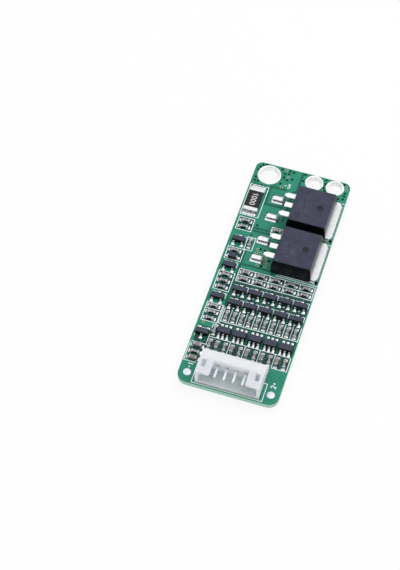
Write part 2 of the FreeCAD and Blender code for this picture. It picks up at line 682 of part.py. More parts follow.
def make_lead_masters(kind, places, half_body, sideways=False):
    """Masters of a part's leads and lands. Each place is a step along the body and a side."""
    foot = f"dims.{kind}_foot"
    bend = f"{half_body} + dims.lead_shoulder"
    down = f"{bend} + dims.lead_slope"
    end = f"{down} + {foot}"
    level = "dims.lead_level"
    thick = "dims.lead_thickness"
    lead = new_body(f"{kind}_lead")
    section = outline(new_sketch(lead, "section", "YZ_Plane"), [
        (half_body, level), (f"{bend} - {thick} / 2", level), (f"{down} - {thick} / 2", "0"),
        (end, "0"), (end, thick), (f"{down} + {thick} / 2", thick),
        (f"{bend} + {thick} / 2", f"{level} + {thick}"), (half_body, f"{level} + {thick}")])
    pad(lead, section, "dims.lead_width", both_ways=True)
    start, reach = f"dims.{kind}_land_start", f"dims.{kind}_land_length"
    land = block(f"{kind}_land", f"dims.{kind}_land_width", reach, "dims.land_thickness",
                 y=f"({start} + {reach} / 2)")
    site = group(f"{kind}_land_site", [land])
    quarter = -90 if sideways else 0
    leads, lands = [], []
    for n, (step, half_turns) in enumerate(places, 1):
        spot = {"x": f"{step} * dims.lead_pitch", "turn": 180 * half_turns + quarter}
        leads.append(copy(lead, f"{kind}_lead_{n}", **spot))
        lands.append(copy(site, f"{kind}_land_{n}", **spot))
    return {"leads": group(f"{kind}_lead_set", leads), "lands": group(f"{kind}_land_set", lands)}


# Power transistors

def make_mosfet_lead():
    """Master of an outer lead: a wide shoulder, a step down and a foot, measured from the body."""
    body = new_body("mosfet_lead")
    thick = "dims.mosfet_lead_thickness"
    level = "dims.mosfet_lead_level"
    top = f"{level} + {thick}"
    bend = "-dims.mosfet_shoulder"
    down = "-(dims.mosfet_shoulder + dims.mosfet_slope)"
    end = "-layout.mosfet_reach"
    side = outline(new_sketch(body, "side", "XZ_Plane"), [
        ("0", level), (f"{bend} + {thick} / 2", level), (f"{down} + {thick} / 2", "0"),
        (end, "0"), (end, thick), (f"{down} - {thick} / 2", thick),
        (f"{bend} - {thick} / 2", top), ("0", top)])
    pad(body, side, "dims.mosfet_lead_width", both_ways=True)
    turns = [value(f"{bend} - {thick} / 2"), value(f"{down} - {thick} / 2")]
    dress(body, "Fillet", "dims.mosfet_bend_radius",
          lambda edge: any(all(abs(vertex.X - turn) < NEAR for vertex in edge.Vertexes)
                           for turn in turns))
    shoulder = new_sketch(body, "shoulder", "XZ_Plane")
    rectangle(shoulder, f"{bend} + {thick} / 2", "0", level, top)
    pad(body, shoulder, "dims.mosfet_shoulder_width", both_ways=True)
    return body


def make_mosfet(place, lead):
    """A power transistor: moulded body over a metal plate, two outer leads and a cut middle one."""
    x, y, z = "layout.mosfet_x", f"layout.power_{place}_y", "layout.seat"
    half = "dims.mosfet_width / 2"
    body = keep(new_body(f"mosfet_body_{place}", x, y, z))
    shelf = "dims.mosfet_lead_level + dims.mosfet_lead_thickness"
    lower = rectangle(new_sketch(body, "lower", "XY_Plane"), "0", "dims.mosfet_length",
                      f"-{half}", half)
    pad(body, lower, shelf)
    upper = rectangle(new_sketch(body, "upper", "XY_Plane", shelf), "0", "dims.mosfet_length",
                      f"-{half}", half)
    pad(body, upper, f"dims.mosfet_height - ({shelf})", draft="dims.mosfet_draft")
    top = value("dims.mosfet_height")
    dress(body, "Chamfer", "dims.mosfet_edge",
          lambda edge: all(abs(vertex.Z - top) < NEAR for vertex in edge.Vertexes))
    covered = "(dims.mosfet_width / 2 - dims.tab_side_cover)"
    recess = rectangle(new_sketch(body, "plate_recess", "XY_Plane"), "dims.tab_start",
                       "dims.mosfet_length", f"-{covered}", covered)
    pocket(body, recess, "dims.tab_thickness", upwards=True)
    mark = new_sketch(body, "ejector_mark", "XY_Plane", "dims.mosfet_height")
    circle(mark, "dims.mosfet_length - dims.dimple_from_tab", "0", "dims.dimple_radius")
    pocket(body, mark, "dims.dimple_depth")

    plate = new_body(f"mosfet_plate_{place}", x, y, z)
    rear = "dims.mosfet_length + dims.tab_overhang"
    cut = f"{half} - dims.tab_corner"
    shape = outline(new_sketch(plate, "outline", "XY_Plane"), [
        ("dims.tab_start", f"-{covered}"), ("dims.mosfet_length", f"-{covered}"),
        ("dims.mosfet_length", f"-{half}"), (f"{rear} - dims.tab_corner / 2", f"-{half}"),
        (rear, f"-({cut})"), (rear, cut), (f"{rear} - dims.tab_corner / 2", half),
        ("dims.mosfet_length", half), ("dims.mosfet_length", covered),
        ("dims.tab_start", covered)])
    pad(plate, shape, "dims.tab_thickness")
    stub = block(f"mosfet_stub_{place}", "dims.mosfet_stub", "dims.mosfet_shoulder_width",
                 "dims.mosfet_lead_thickness", f"{x} - dims.mosfet_stub / 2", y,
                 f"{z} + dims.mosfet_lead_level")
    leads = [copy(lead, f"mosfet_lead_{place}_{n}", x, f"{y} + {side} * dims.mosfet_lead_pitch", z)
             for n, side in enumerate((-1, 1), 1)]
    keep(group(f"mosfet_leadframe_{place}", [plate, stub] + leads))

    start = "dims.tab_start"
    length = "(layout.tab_length + dims.drain_land_margin)"
    lands = [block(f"drain_land_{place}", length, "(2 * layout.drain_half)", "dims.land_thickness",
                   f"({x} + {start} + {length} / 2)", y, "layout.board_top")]
    foot = f"({x} - layout.mosfet_reach - dims.gate_land_margin + dims.gate_land_length / 2)"
    for n, side in enumerate((-1, 1), 1):
        lands.append(block(f"gate_land_{place}_{n}", "dims.gate_land_length",
                           "dims.gate_land_width", "dims.land_thickness", foot,
                           f"({y} + {side} * dims.mosfet_lead_pitch)", "layout.board_top"))
    return lands


# Placing the small parts

class Placer:
    """Places copies of chip, transistor and lead masters and gathers them into groups."""

    def __init__(self):
        self.members = {}
        self.lands = []

    def add(self, node, master, x, y, z, turn):
        links = self.members.setdefault(node, [])
        links.append(copy(master, f"{node}_{len(links) + 1}", x, y, z, turn))

    def land(self, master, x, y, turn):
        name = f"land_site_{len(self.lands) + 1}"
        self.lands.append(copy(master, name, x, y, "layout.board_top", turn))

    def chip(self, masters, node, x, y, turn=0):
        self.add(f"{node}_bodies", masters["body"], x, y, "layout.seat", turn)
        self.add(f"{node}_terminals", masters["caps"], x, y, "layout.seat", turn)
        self.land(masters["lands"], x, y, turn)

    def leads(self, masters, node, x, y, turn=0):
        self.add(node, masters["leads"], x, y, "layout.seat", turn)
        self.land(masters["lands"], x, y, turn)

    def finish(self):
        for node, links in self.members.items():
            keep(group(node, links))


def place_cells(placer, resistor, transistor, monitor):
    """Everything that each cell of the pack has: bleed, switch, divider and monitor parts."""
    for n in range(CELL_COUNT):
        x = f"layout.cell_x + {n} * dims.cell_pitch"
        for level in ("high", "low"):
            placer.chip(resistor, "bleed_resistor", x, f"layout.bleed_{level}_y")
            y = f"layout.switch_{level}_y"
            make_moulding(f"switch_transistor_{level}_{n + 1}", "transistor", x, y)
            placer.leads(transistor, f"switch_transistor_{level}_leads", x, y)
        for side in ("-", "+"):
            placer.chip(resistor, "divider_resistor", f"{x} {side} dims.divider_pitch / 2",
                        "layout.divider_y", turn=90)
        make_moulding(f"cell_monitor_{n + 1}", "monitor", x, "layout.monitor_y")
        placer.leads(monitor, "cell_monitor_leads", x, "layout.monitor_y")


def place_filters(placer, resistor, capacitor):
    """The row beside the header: a resistor for each header pin and a capacitor for each cell."""
    for n in range(PIN_COUNT):
        x = f"layout.filter_x + {n} * dims.filter_pitch"
        placer.chip(resistor, "filter_resistor", x, "layout.filter_y", turn=90)
        if n < CELL_COUNT:
            placer.chip(capacitor, "capacitor", f"{x} + dims.filter_capacitor_offset",
                        "layout.filter_y", turn=90)


def place_column(placer, resistor, capacitor, transistor, diode):
    """The left column, and the chips that stand beside it."""
    for name, kind, gap in COLUMN:
        x = "layout.low_column_x" if name in LOW_GROUP else "layout.column_x"
        y = f"layout.{name}_y"
        if kind == "transistor":
            turn = 180 if name in LOW_GROUP else 0
            make_moulding(name, kind, x, y)
            placer.leads(transistor, "control_transistor_leads", x, y, turn)
        elif kind == "diode":
            make_moulding(name, kind, x, y, length="dims.diode_length")
            placer.leads(diode, "clamp_diode_leads", x, y)
        elif kind == "capacitor":
            placer.chip(capacitor, "capacitor", x, y)
        else:
            placer.chip(resistor, "control_resistor", x, y)
    placer.chip(resistor, "control_resistor", "layout.side_chip_x",
                "layout.control_transistor_1_y", turn=90)
    placer.chip(resistor, "control_resistor", "layout.filter_x", "layout.monitor_y", turn=90)
    placer.chip(resistor, "control_resistor",
                "layout.mosfet_x - dims.gate_chip_gap - layout.chip_reach",
                "(layout.power_low_y + layout.power_high_y) / 2")


def make_small_parts():
    """Masters first, then their copies, then the shunt. Returns the sites of all their lands."""
    resistor = make_chip_masters("resistor", "dims.resistor_height")
    capacitor = make_chip_masters("capacitor", "dims.capacitor_height")
    shunt = make_chip_masters("shunt", "dims.shunt_height", "shunt")
    corners = [(0, 0), (-1, 1), (1, 1)]
    transistor = make_lead_masters("transistor", corners, "dims.transistor_width / 2")
    ranks = [(step, side) for side in (0, 1) for step in (-1, 0, 1)]
    monitor = make_lead_masters("monitor", ranks, "dims.monitor_width / 2")
    diode = make_lead_masters("diode", [(0, 0), (0, 1)], "dims.diode_length / 2", sideways=True)
    placer = Placer()
    place_cells(placer, resistor, transistor, monitor)
    place_filters(placer, resistor, capacitor)
    place_column(placer, resistor, capacitor, transistor, diode)
    placer.finish()
    spot = ("layout.column_x", "layout.shunt_y", "layout.seat", 90)
    keep(group("shunt_body", [copy(shunt["body"], "shunt_block_placed", *spot)]))
    keep(group("shunt_terminals", [copy(shunt["caps"], "shunt_caps_placed", *spot)]))
    placer.land(shunt["lands"], "layout.column_x", "layout.shunt_y", 90)
    return placer.lands


def make_all():
    """Build every sub-part."""
    make_board()
    make_plated_hole("main_terminal", "layout.main_x", "layout.main_y",
                     "dims.main_pad", "dims.main_hole")
    for side in ("left", "right"):
        make_plated_hole(f"pack_terminal_{side}", f"layout.pack_{side}_x", "layout.pack_y",
                         "dims.pack_pad", "dims.pack_hole")
    make_sense_pads()
    make_header_housing()
    make_header_pins()
    make_solder_joints()
    lead = make_mosfet_lead()
    lands = make_mosfet("low", lead) + make_mosfet("high", lead)
    lands += make_small_parts()
    keep(group("solder_lands", lands))
    doc.recompute()


def check_and_write():
    """Stop if any object failed, then write each sub-part to its own file."""
    for thing in doc.Objects:
        if "Invalid" in thing.State or "Error" in thing.State:
            raise RuntimeError(f"{thing.Name} failed: {thing.State}")
    for part in kept:
        if part.Shape.isNull() or not part.Shape.isValid():
            raise RuntimeError(f"{part.Label} has no valid shape")
    os.makedirs("parts", exist_ok=True)
    for part in kept:
        part.Shape.exportStep(f"parts/{part.Label}.step")


fill_sheet()
lay_out()
make_all()
check_and_write()
print(f"{len(kept)} sub-parts, {value('board_width'):.2f} by {value('board_length'):.2f} mm")
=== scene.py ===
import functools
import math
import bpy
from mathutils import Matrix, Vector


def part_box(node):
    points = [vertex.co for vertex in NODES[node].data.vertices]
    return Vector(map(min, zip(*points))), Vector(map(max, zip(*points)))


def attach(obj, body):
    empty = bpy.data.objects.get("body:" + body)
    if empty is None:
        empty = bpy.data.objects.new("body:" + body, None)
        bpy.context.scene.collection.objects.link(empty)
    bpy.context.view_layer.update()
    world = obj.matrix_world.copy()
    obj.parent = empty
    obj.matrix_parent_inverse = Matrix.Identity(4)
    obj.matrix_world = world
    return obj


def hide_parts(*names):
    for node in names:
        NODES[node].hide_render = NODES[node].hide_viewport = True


bl_info = {
    "name": "Battery management board",
    "version": (1, 0, 0),
    "blender": (4, 5, 0),
    "location": "3D View > Sidebar > Board",
    "description": "Finishes a battery management board: mask, legend, solder, moulded parts, header",
    "category": "Object",
}

import bmesh
import bpy
import numpy as np
from bpy.props import FloatProperty, FloatVectorProperty, PointerProperty
from mathutils import Matrix

# The frame: lengths in this file are millimetres until they enter a mesh

MM = 0.001
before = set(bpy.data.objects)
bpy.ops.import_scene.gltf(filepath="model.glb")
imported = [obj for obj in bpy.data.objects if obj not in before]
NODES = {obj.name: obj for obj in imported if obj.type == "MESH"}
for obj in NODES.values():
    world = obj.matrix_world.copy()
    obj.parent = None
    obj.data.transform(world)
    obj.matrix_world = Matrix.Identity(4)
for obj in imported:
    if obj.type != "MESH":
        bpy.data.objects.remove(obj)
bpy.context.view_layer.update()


def span(node):
    """Lowest and highest corner of a CAD node in millimetres."""
    low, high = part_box(node)
    return np.array(low) / MM, np.array(high) / MM


def centre(node):
    """Middle of a CAD node in millimetres."""
    return sum(span(node)) / 2


def solids(node):
    """Lowest and highest corner of each separate solid in a CAD node, in millimetres.

    Corners at one place share a number. Every triangle then hands the least number among its
    corners to the other two, until each solid has one number left.
    """
    mesh = NODES[node].data
    spots = np.empty(3 * len(mesh.vertices))
    corners = np.empty(len(mesh.loops), int)
    mesh.vertices.foreach_get("co", spots)
    mesh.loops.foreach_get("vertex_index", corners)
    spots, shared = np.unique(np.round(spots.reshape(-1, 3) / MM, 3), axis=0,
                              return_inverse=True)
    triangles = shared.ravel()[corners].reshape(-1, 3)
    label = np.arange(len(spots))
    settled = False
    while not settled:
        least = label.copy()
        np.minimum.at(least, triangles, label[triangles].min(1, keepdims=True))
        settled = (least == label).all()
        label = least
    kinds, member = np.unique(label, return_inverse=True)
    low = np.full((len(kinds), 3), np.inf)
    high = -low
    np.minimum.at(low, member.ravel(), spots)
    np.maximum.at(high, member.ravel(), spots)
    return low, high


BOARD_LOW, BOARD_HIGH = span("circuit_board")
TOP = BOARD_HIGH[2]
SEAT = span("header_housing")[0][2]
FLOOR = span("header_pin_1")[0][2]
TERMINALS = ("main_terminal", "pack_terminal_left", "pack_terminal_right")
HIGH_SWITCHES = [f"switch_transistor_high_{n}" for n in range(1, 6)]
LOW_SWITCHES = [f"switch_transistor_low_{n}" for n in range(1, 6)]
CONTROLS = [f"control_transistor_{n}" for n in range(1, 5)]
MONITORS = [f"cell_monitor_{n}" for n in range(1, 6)]
POWER_PLACES = ("low", "high")
CELLS = [centre(monitor)[0] for monitor in MONITORS]
HALF_PITCH = (CELLS[1] - CELLS[0]) / 2

# Corners of a CAD mesh that are nearer than this are the same corner
NEAR = 0.0015
# New solids reach this far into what they lie on, so that no faces share a place
SUNK = 0.02

# Colours and materials

def linear(colour):
    """An sRGB hex colour as linear red, green, blue and alpha."""
    light = np.array([int(colour[i:i + 2], 16) for i in (1, 3, 5)]) / 255
    light = np.where(light <= 0.04045, light / 12.92, ((light + 0.055) / 1.055) ** 2.4)
    return (*light.tolist(), 1.0)


def add(tree, kind, feeds=None, output=0, **settings):
    """Add a node with its settings, and give one of its outputs. A feed goes to an input, and is
    a value or the output of another node."""
    made = tree.nodes.new(f"ShaderNode{kind}")
    for name, setting in settings.items():
        setattr(made, name, setting)
    for name, feed in (feeds or {}).items():
        if isinstance(feed, bpy.types.NodeSocket):
            tree.links.new(feed, made.inputs[name])
        else:
            made.inputs[name].default_value = feed
    return made.outputs[output]


def start_material(name, roughness, metallic=0.0, specular=0.5):
    """A material with its shader's plain values set, and the coordinates its patterns use."""
    material = bpy.data.materials.new(name)
    material.use_nodes = True
    tree = material.node_tree
    shader = tree.nodes["Principled BSDF"]
    shader.inputs["Roughness"].default_value = roughness
    shader.inputs["Metallic"].default_value = metallic
    shader.inputs["Specular IOR Level"].default_value = specular
    return material, tree, shader, add(tree, "TexCoord", output="Object")


def clouds(tree, place, size, low=0.0, high=1.0, detail=3.0):
    """A cloudy pattern whose blotches are about a size in millimetres. Its middle is spread, so
    that low becomes 0 and high becomes 1."""
    noise = add(tree, "TexNoise", {"Vector": place, "Scale": 1 / (size * MM), "Detail": detail})
    return add(tree, "MapRange", {"Value": noise, "From Min": low, "From Max": high})


def lumps(tree, shader, place, size, depth, detail=3.0, edge=0.0):
    """Raise the surface in lumps of a size and a depth in millimetres. An edge width rounds the
    edges of a CAD node in its shading."""
    feeds = {"Height": clouds(tree, place, size, detail=detail), "Distance": depth * MM}
    if edge:
        feeds["Normal"] = add(tree, "Bevel", {"Radius": edge * MM}, samples=6)
    tree.links.new(add(tree, "Bump", feeds), shader.inputs["Normal"])


def inside(tree, place, *boxes):
    """1 inside any of some boxes, else 0. A box gives its two limits in millimetres on X, and may
    go on with those on Y and Z."""
    parts = add(tree, "SeparateXYZ", {"Vector": place}).node.outputs
    anywhere = 0.0
    for box in boxes:
        here = 1.0
        for part, low, high in zip(parts, box[::2], box[1::2]):
            for operation, limit in (("GREATER_THAN", low), ("LESS_THAN", high)):
                side = add(tree, "Math", {0: part, 1: limit * MM}, operation=operation)
                here = add(tree, "Math", {0: here, 1: side}, operation="MULTIPLY")
        anywhere = add(tree, "Math", {0: anywhere, 1: here}, operation="MAXIMUM")
    return anywhere


# Of a Mix node's sockets, input 0 is the amount. Colours come in at 6 and 7 and go out at 2

def paint(tree, shader, pattern, first, second):
    """Colour the surface: first where a pattern is 0, second where it is 1."""
    tones = {0: pattern, 6: first, 7: second}
    tree.links.new(add(tree, "Mix", tones, 2, data_type="RGBA"), shader.inputs["Base Color"])


def clouded(name, roughness, blotch, first, second, low=0.0, high=1.0, lump=None, **plain):
    """A material whose colour drifts from one hex colour to another in blotches of a size. Lump
    is the size and the depth of lumps, if it has them."""
    material, tree, shader, place = start_material(name, roughness, **plain)
    pattern = clouds(tree, place, blotch, low, high)
    paint(tree, shader, pattern, linear(first), linear(second))
    if lump:
        lumps(tree, shader, place, *lump)
    return material


# Where no broad copper lies under the mask, and where the mask is darkened as painted shade
# between the small parts: the rows of small parts, and the left column. Each box is left, right,
# lower and upper
BARE_AND_SHADED_BOXES = [(-6.2, 10.7, -21.4, 0.9), (-10.3, -6.9, 10.8, 14.0), (-10.3, -6.9, 2.4, 5.5),
              (-10.3, -6.9, -5.9, -1.1), (-10.3, -6.9, -14.2, -9.7), (-10.3, -6.9, -24.6, -15.6),
              (-7.2, -6.0, -19.6, -14.2)]
# Limits that nothing of the board passes
ANYWHERE = (-100.0, 100.0)


@functools.cache
def solder_mask():
    """Glossy green photo-imaged lacquer on glass-epoxy laminate: the copper below makes it
    bright. Bare laminate and painted shade between the small parts make it darker, and the sawn edge
    shows pale resin with fine layers of glass."""
    look = bpy.context.scene.board_look
    material, tree, shader, place = start_material("green_solder_mask", 0.32, specular=0.3)
    layers = add(tree, "TexWave", {"Vector": place, "Scale": 1 / (1.6 * MM), "Distortion": 1.5,
                                   "Detail Scale": 2.0}, "Fac", bands_direction="Z")
    over_copper, over_traces_and_shade, sawn = [
        add(tree, "Mix", {0: amount, 6: tuple(dark), 7: tuple(light)}, 2, data_type="RGBA")
        for amount, dark, light in (
            (clouds(tree, place, 2.5, 0.35, 0.65), look.mask_dark, look.mask_light),
            (clouds(tree, place, 0.6, 0.5, 0.6, detail=1.0), look.bare_and_shaded_dark, look.bare_and_shaded_light),
            (layers, look.laminate_dark, look.laminate_light))]
    # Painted shade: inside these boxes the mask takes the darker tones, partly for bare laminate and
    # partly for the shade between the small parts
    bare = inside(tree, place, *((*box, TOP / 2, 2 * TOP) for box in BARE_AND_SHADED_BOXES))
    mask = add(tree, "Mix", {0: bare, 6: over_copper, 7: over_traces_and_shade}, 2, data_type="RGBA")
    skin = 0.02
    edge = inside(tree, place, (*ANYWHERE, *ANYWHERE, skin, TOP - skin))
    paint(tree, shader, edge, mask, sawn)
    lumps(tree, shader, place, 0.5, 0.01)
    return material


@functools.cache
def mask_over_laminate():
    """The same lacquer where no copper lies below it: darker, and a little lower."""
    return clouded("green_mask_over_bare_laminate", 0.4, 1.2, "#145A48", "#1C6B56",
                   specular=0.2)


@functools.cache
def via_shade():
    """The dark mouth of a small plated hole: painted shade of the hole, and in some of them also the
    lacquer that has run into it.
    """
    return clouded("via_hole_painted_shade", 0.8, 0.2, "#04110C", "#0C2219", specular=0.05)


@functools.cache
def legend_ink():
    """Screen-printed white epoxy ink, thin enough for the green to tint it."""
    return clouded("white_legend_ink", 0.6, 0.3, "#D6EEEE", "#F6FDFF", 0.3, 0.7,
                   lump=(0.06, 0.004))


def bright_metal(name, pale, dark, roughness, blotch, depth):
    """A soft white metal: cloudy reflection with blotches of a size, and a lumpy skin."""
    material, tree, shader, place = start_material(name, roughness, metallic=1.0)
    cloud = clouds(tree, place, blotch, 0.35, 0.7)
    paint(tree, shader, cloud, linear(dark), linear(pale))
    dull = {"Value": cloud, "To Min": roughness * 1.35, "To Max": roughness * 0.8}
    tree.links.new(add(tree, "MapRange", dull), shader.inputs["Roughness"])
    lumps(tree, shader, place, blotch / 2, depth)
    return material


@functools.cache
def levelled_tin():
    """Hot-air-levelled tin on copper pads: bright, with soft swells."""
    return bright_metal("hot_air_levelled_tin", "#EFF4FB", "#DAE1EA", 0.28, 0.5, 0.006)


@functools.cache
def terminal_tin():
    """The thick matt tin in and round the holes for the heavy wires."""
    return bright_metal("matt_terminal_tin", "#FAFAFA", "#EDEEEE", 0.5, 1.2, 0.006)


@functools.cache
def via_tin():
    """Thin tin over copper round an open via, tinted by the lacquer that creeps over it."""
    return clouded("lacquer_tinted_tin", 0.5, 0.3, "#E2EAC0", "#B7D3A0", metallic=0.3)


@functools.cache
def solder():
    """Reflowed solder: bright, wetted up the feet of the power parts, with frosty patches."""
    return bright_metal("reflowed_solder", "#FAFAFA", "#E4E6E8", 0.22, 0.8, 0.002)


@functools.cache
def dull_solder():
    """The thin solder of the small joints, greyer from the flux left on it."""
    return bright_metal("dull_small_joints", "#C2C5C8", "#73787C", 0.3, 0.4, 0.008)


@functools.cache
def plated_lead():
    """Matt tin electroplated on copper leads, with a fine even grain."""
    return bright_metal("matt_tin_plating", "#F6F7F9", "#E0E2E5", 0.3, 0.25, 0.003)


@functools.cache
def chip_plating():
    """Tin over the fired silver ends of a chip: greyer, with a pitted skin."""
    return bright_metal("tin_on_fired_silver", "#D2D5D8", "#9B9FA4", 0.4, 0.25, 0.005)


@functools.cache
def plated_leadframe():
    """The same tin on the power transistors: brighter on the formed leads than on the plate,
    and with painted shade, a dull grey, on the sides of the feet."""
    material, tree, shader, place = start_material("matt_tin_on_leadframe", 0.34, metallic=1.0)
    grain = clouds(tree, place, 0.4, 0.3, 0.7)
    leads, plate = [
        add(tree, "Mix", {0: grain, 6: linear(dark), 7: linear(pale)}, 2, data_type="RGBA")
        for dark, pale in (("#EFF1F3", "#FCFDFD"), ("#DFE0E5", "#F0F1F4"))]
    plate_side = inside(tree, place, (centre("mosfet_body_low")[0], BOARD_HIGH[0]))
    tone = add(tree, "Mix", {0: plate_side, 6: leads, 7: plate}, 2, data_type="RGBA")
    body_start = span("mosfet_body_low")[0][0]
    # Painted shade: the sides of the feet, up to foot_side above the seat, take a dull grey
    foot_side = 0.4
    painted_shade_on_feet = inside(tree, place, (BOARD_LOW[0], body_start, *ANYWHERE, SEAT, SEAT + foot_side))
    paint(tree, shader, painted_shade_on_feet, tone, linear("#6E7175"))
    lumps(tree, shader, place, 0.25, 0.002)
    return material


def moulded_epoxy(name, pale, dark):
    """Transfer-moulded epoxy filled with carbon black: fine matt grain on top from the
    spark-eroded mould, and slightly blue in strong light. Faces that turn sideways are painted near
    black as painted shade, so the top stands out as the lit side."""
    material, tree, shader, place = start_material(name, 0.36, specular=0.25)
    tones = {0: clouds(tree, place, 1.5, 0.3, 0.7), 6: linear(dark), 7: linear(pale)}
    top = add(tree, "Mix", tones, 2, data_type="RGBA")
    facing = add(tree, "NewGeometry", output="Normal")
    rise = add(tree, "SeparateXYZ", {"Vector": facing}, "Z")
    lit_top_share = add(tree, "MapRange", {"Value": rise, "From Min": 0.3, "From Max": 0.9})
    # Painted shade: faces that turn sideways take a near-black tone, and upward faces keep the
    # lighter lit tone
    paint(tree, shader, lit_top_share, linear("#08080E"), top)
    lumps(tree, shader, place, 0.09, 0.005, detail=2.0, edge=0.03)
    return material


@functools.cache
def power_epoxy():
    """The epoxy of the power transistors, which catches the light in blue."""
    return moulded_epoxy("matt_moulded_epoxy", "#3E4156", "#333548")


@functools.cache
def polished_epoxy():
    """Epoxy pressed by the smooth end of an ejector pin: darker, as it lacks the matt grain."""
    return clouded("pin_polished_epoxy", 0.3, 0.5, "#1A1B29", "#131420", specular=0.35)


@functools.cache
def small_epoxy():
    """The epoxy of the small parts, a more neutral grey."""
    return moulded_epoxy("fine_moulded_epoxy", "#424859", "#373D4E")


@functools.cache
def resistor_glaze():
    """Black glass glaze over the printed resistor film: glossy, with a soft swell."""
    return clouded("black_resistor_glaze", 0.35, 0.4, "#131316", "#252529", lump=(0.5, 0.01),
                   specular=0.3)


@functools.cache
def capacitor_ceramic():
    """Bare fired barium titanate: tan, finely speckled and dull."""
    return clouded("fired_tan_ceramic", 0.5, 0.12, "#7A6F68", "#9A8F85", 0.3, 0.7)


@functools.cache
def nylon():
    """Moulded natural nylon: milky, so light passes into it. Its floor is darker and greener:
    partly the board showing through the thin nylon, and partly painted shade that grows into the
    hollow."""
    look = bpy.context.scene.header_look
    material, tree, shader, place = start_material("moulded_white_nylon", 0.6)
    shader.inputs["Subsurface Weight"].default_value = 0.9
    shader.inputs["Subsurface Radius"].default_value = (0.95, 1.0, 1.0)
    shader.inputs["Subsurface Scale"].default_value = 5.0 * MM
    parts = add(tree, "SeparateXYZ", {"Vector": place}).node.outputs
    low, high = span("header_housing")
    side_wall, floor_top, shade_top = 0.5, 0.7, 1.2
    lip_start, lip_end = -0.05, 0.3
    floor = inside(tree, place, (low[0] + side_wall, high[0] - side_wall))
    # Painted shade: the floor's tone grows downwards through the hollow, and inwards from the lip
    for part, start, end in (("Z", SEAT + shade_top, SEAT + floor_top),
                             ("Y", low[1] + lip_start, low[1] + lip_end)):
        grown = {"Value": parts[part], "From Min": start * MM, "From Max": end * MM}
        floor = add(tree, "Math", {0: floor, 1: add(tree, "MapRange", grown)},
                    operation="MULTIPLY")
    tones = {0: clouds(tree, place, 3.0), 6: linear("#E8ECFB"), 7: tuple(look.nylon)}
    solid = add(tree, "Mix", tones, 2, data_type="RGBA")
    paint(tree, shader, floor, solid, tuple(look.nylon_floor_and_shade))
    lumps(tree, shader, place, 0.15, 0.003, edge=0.1)
    return material


@functools.cache
def resistor_print():
    """White epoxy print on the glaze, a little uneven."""
    return clouded("white_value_print", 0.6, 0.1, "#F4F4F0", "#C9C9CB")


@functools.cache
def laser_mark():
    """A laser burns the black skin to a slightly paler grey."""
    return moulded_epoxy("laser_burnt_epoxy", "#5C5F73", "#4F5266")


# Meshes

def linked(name, data):
    """A new object, put in the scene."""
    made = bpy.data.objects.new(name, data)
    bpy.context.scene.collection.objects.link(made)
    return made


def add_surface(name, points, faces, material, smooth=True):
    """A new object from points in millimetres."""
    mesh = bpy.data.meshes.new(name)
    mesh.from_pydata((points * MM).tolist(), [], faces.tolist())
    mesh.polygons.foreach_set("use_smooth", np.full(len(mesh.polygons), smooth))
    mesh.update()
    mesh.materials.append(material)
    return linked(name, mesh)


def add_piece(*surface, **shading):
    """A new surface that rides on the board."""
    piece = add_surface(*surface, **shading)
    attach(piece, "root")
    return piece


def joined(meshes):
    """Several pairs of points and faces as one pair."""
    meshes = list(meshes)
    starts = np.cumsum([0] + [len(points) for points, faces in meshes[:-1]])
    return (np.concatenate([points for points, faces in meshes]),
            np.concatenate([faces + start for (points, faces), start in zip(meshes, starts)]))


def grid(rows, columns):
    """The numbers of a grid's points, and the faces between them."""
    number = np.arange(rows * columns).reshape(rows, columns)
    faces = np.stack([number[:-1, :-1], number[1:, :-1], number[1:, 1:], number[:-1, 1:]], -1)
    return number, faces.reshape(-1, 4)


def shell(top, bottom):
    """Closed solids between pairs of grids of points, each (count, rows, columns, 3). The two
    sheets are joined round their rims. Rows run to the right and columns upwards, seen from the
    side that the top faces."""
    count, rows, columns = top.shape[:3]
    size = rows * columns
    number, sheet = grid(rows, columns)
    loop = np.concatenate([number[0], number[1:, -1], number[-1, -2::-1], number[-2:0:-1, 0]])
    following = np.roll(loop, -1)
    rim = np.stack([loop, following, following + size, loop + size], -1)
    faces = np.concatenate([sheet, sheet[:, ::-1] + size, rim])
    faces = faces + 2 * size * np.arange(count)[:, None, None]
    points = np.concatenate([top.reshape(count, -1, 3), bottom.reshape(count, -1, 3)], 1)
    return points.reshape(-1, 3), faces.reshape(-1, 4)


def looped(rings):
    """Closed solids that run back to their start: at each stop on the way stands an outline, in
    all (count, stops, corners, 3). An outline runs clockwise, seen along the way on."""
    count, stops, corners = rings.shape[:3]
    number = np.arange(stops * corners).reshape(stops, corners)
    onward = np.roll(number, -1, 0)
    faces = np.stack([number, onward, np.roll(onward, -1, 1), np.roll(number, -1, 1)], -1)
    faces = faces.reshape(-1, 4) + (stops * corners) * np.arange(count)[:, None, None]
    return rings.reshape(-1, 3), faces.reshape(-1, 4)


def turned(profile, centres, sides):
    """A closed outline of radius and height, turned about a vertical axis at each centre. The
    outline runs anticlockwise with the radius to the right."""
    angle = np.arange(sides) * (2 * math.pi / sides)
    radius, height = np.asarray(profile, float).T
    outlines = np.stack([np.outer(np.cos(angle), radius), np.outer(np.sin(angle), radius),
                         np.tile(height, (sides, 1))], -1)
    return looped(outlines + np.asarray(centres, float)[:, None, None, :])


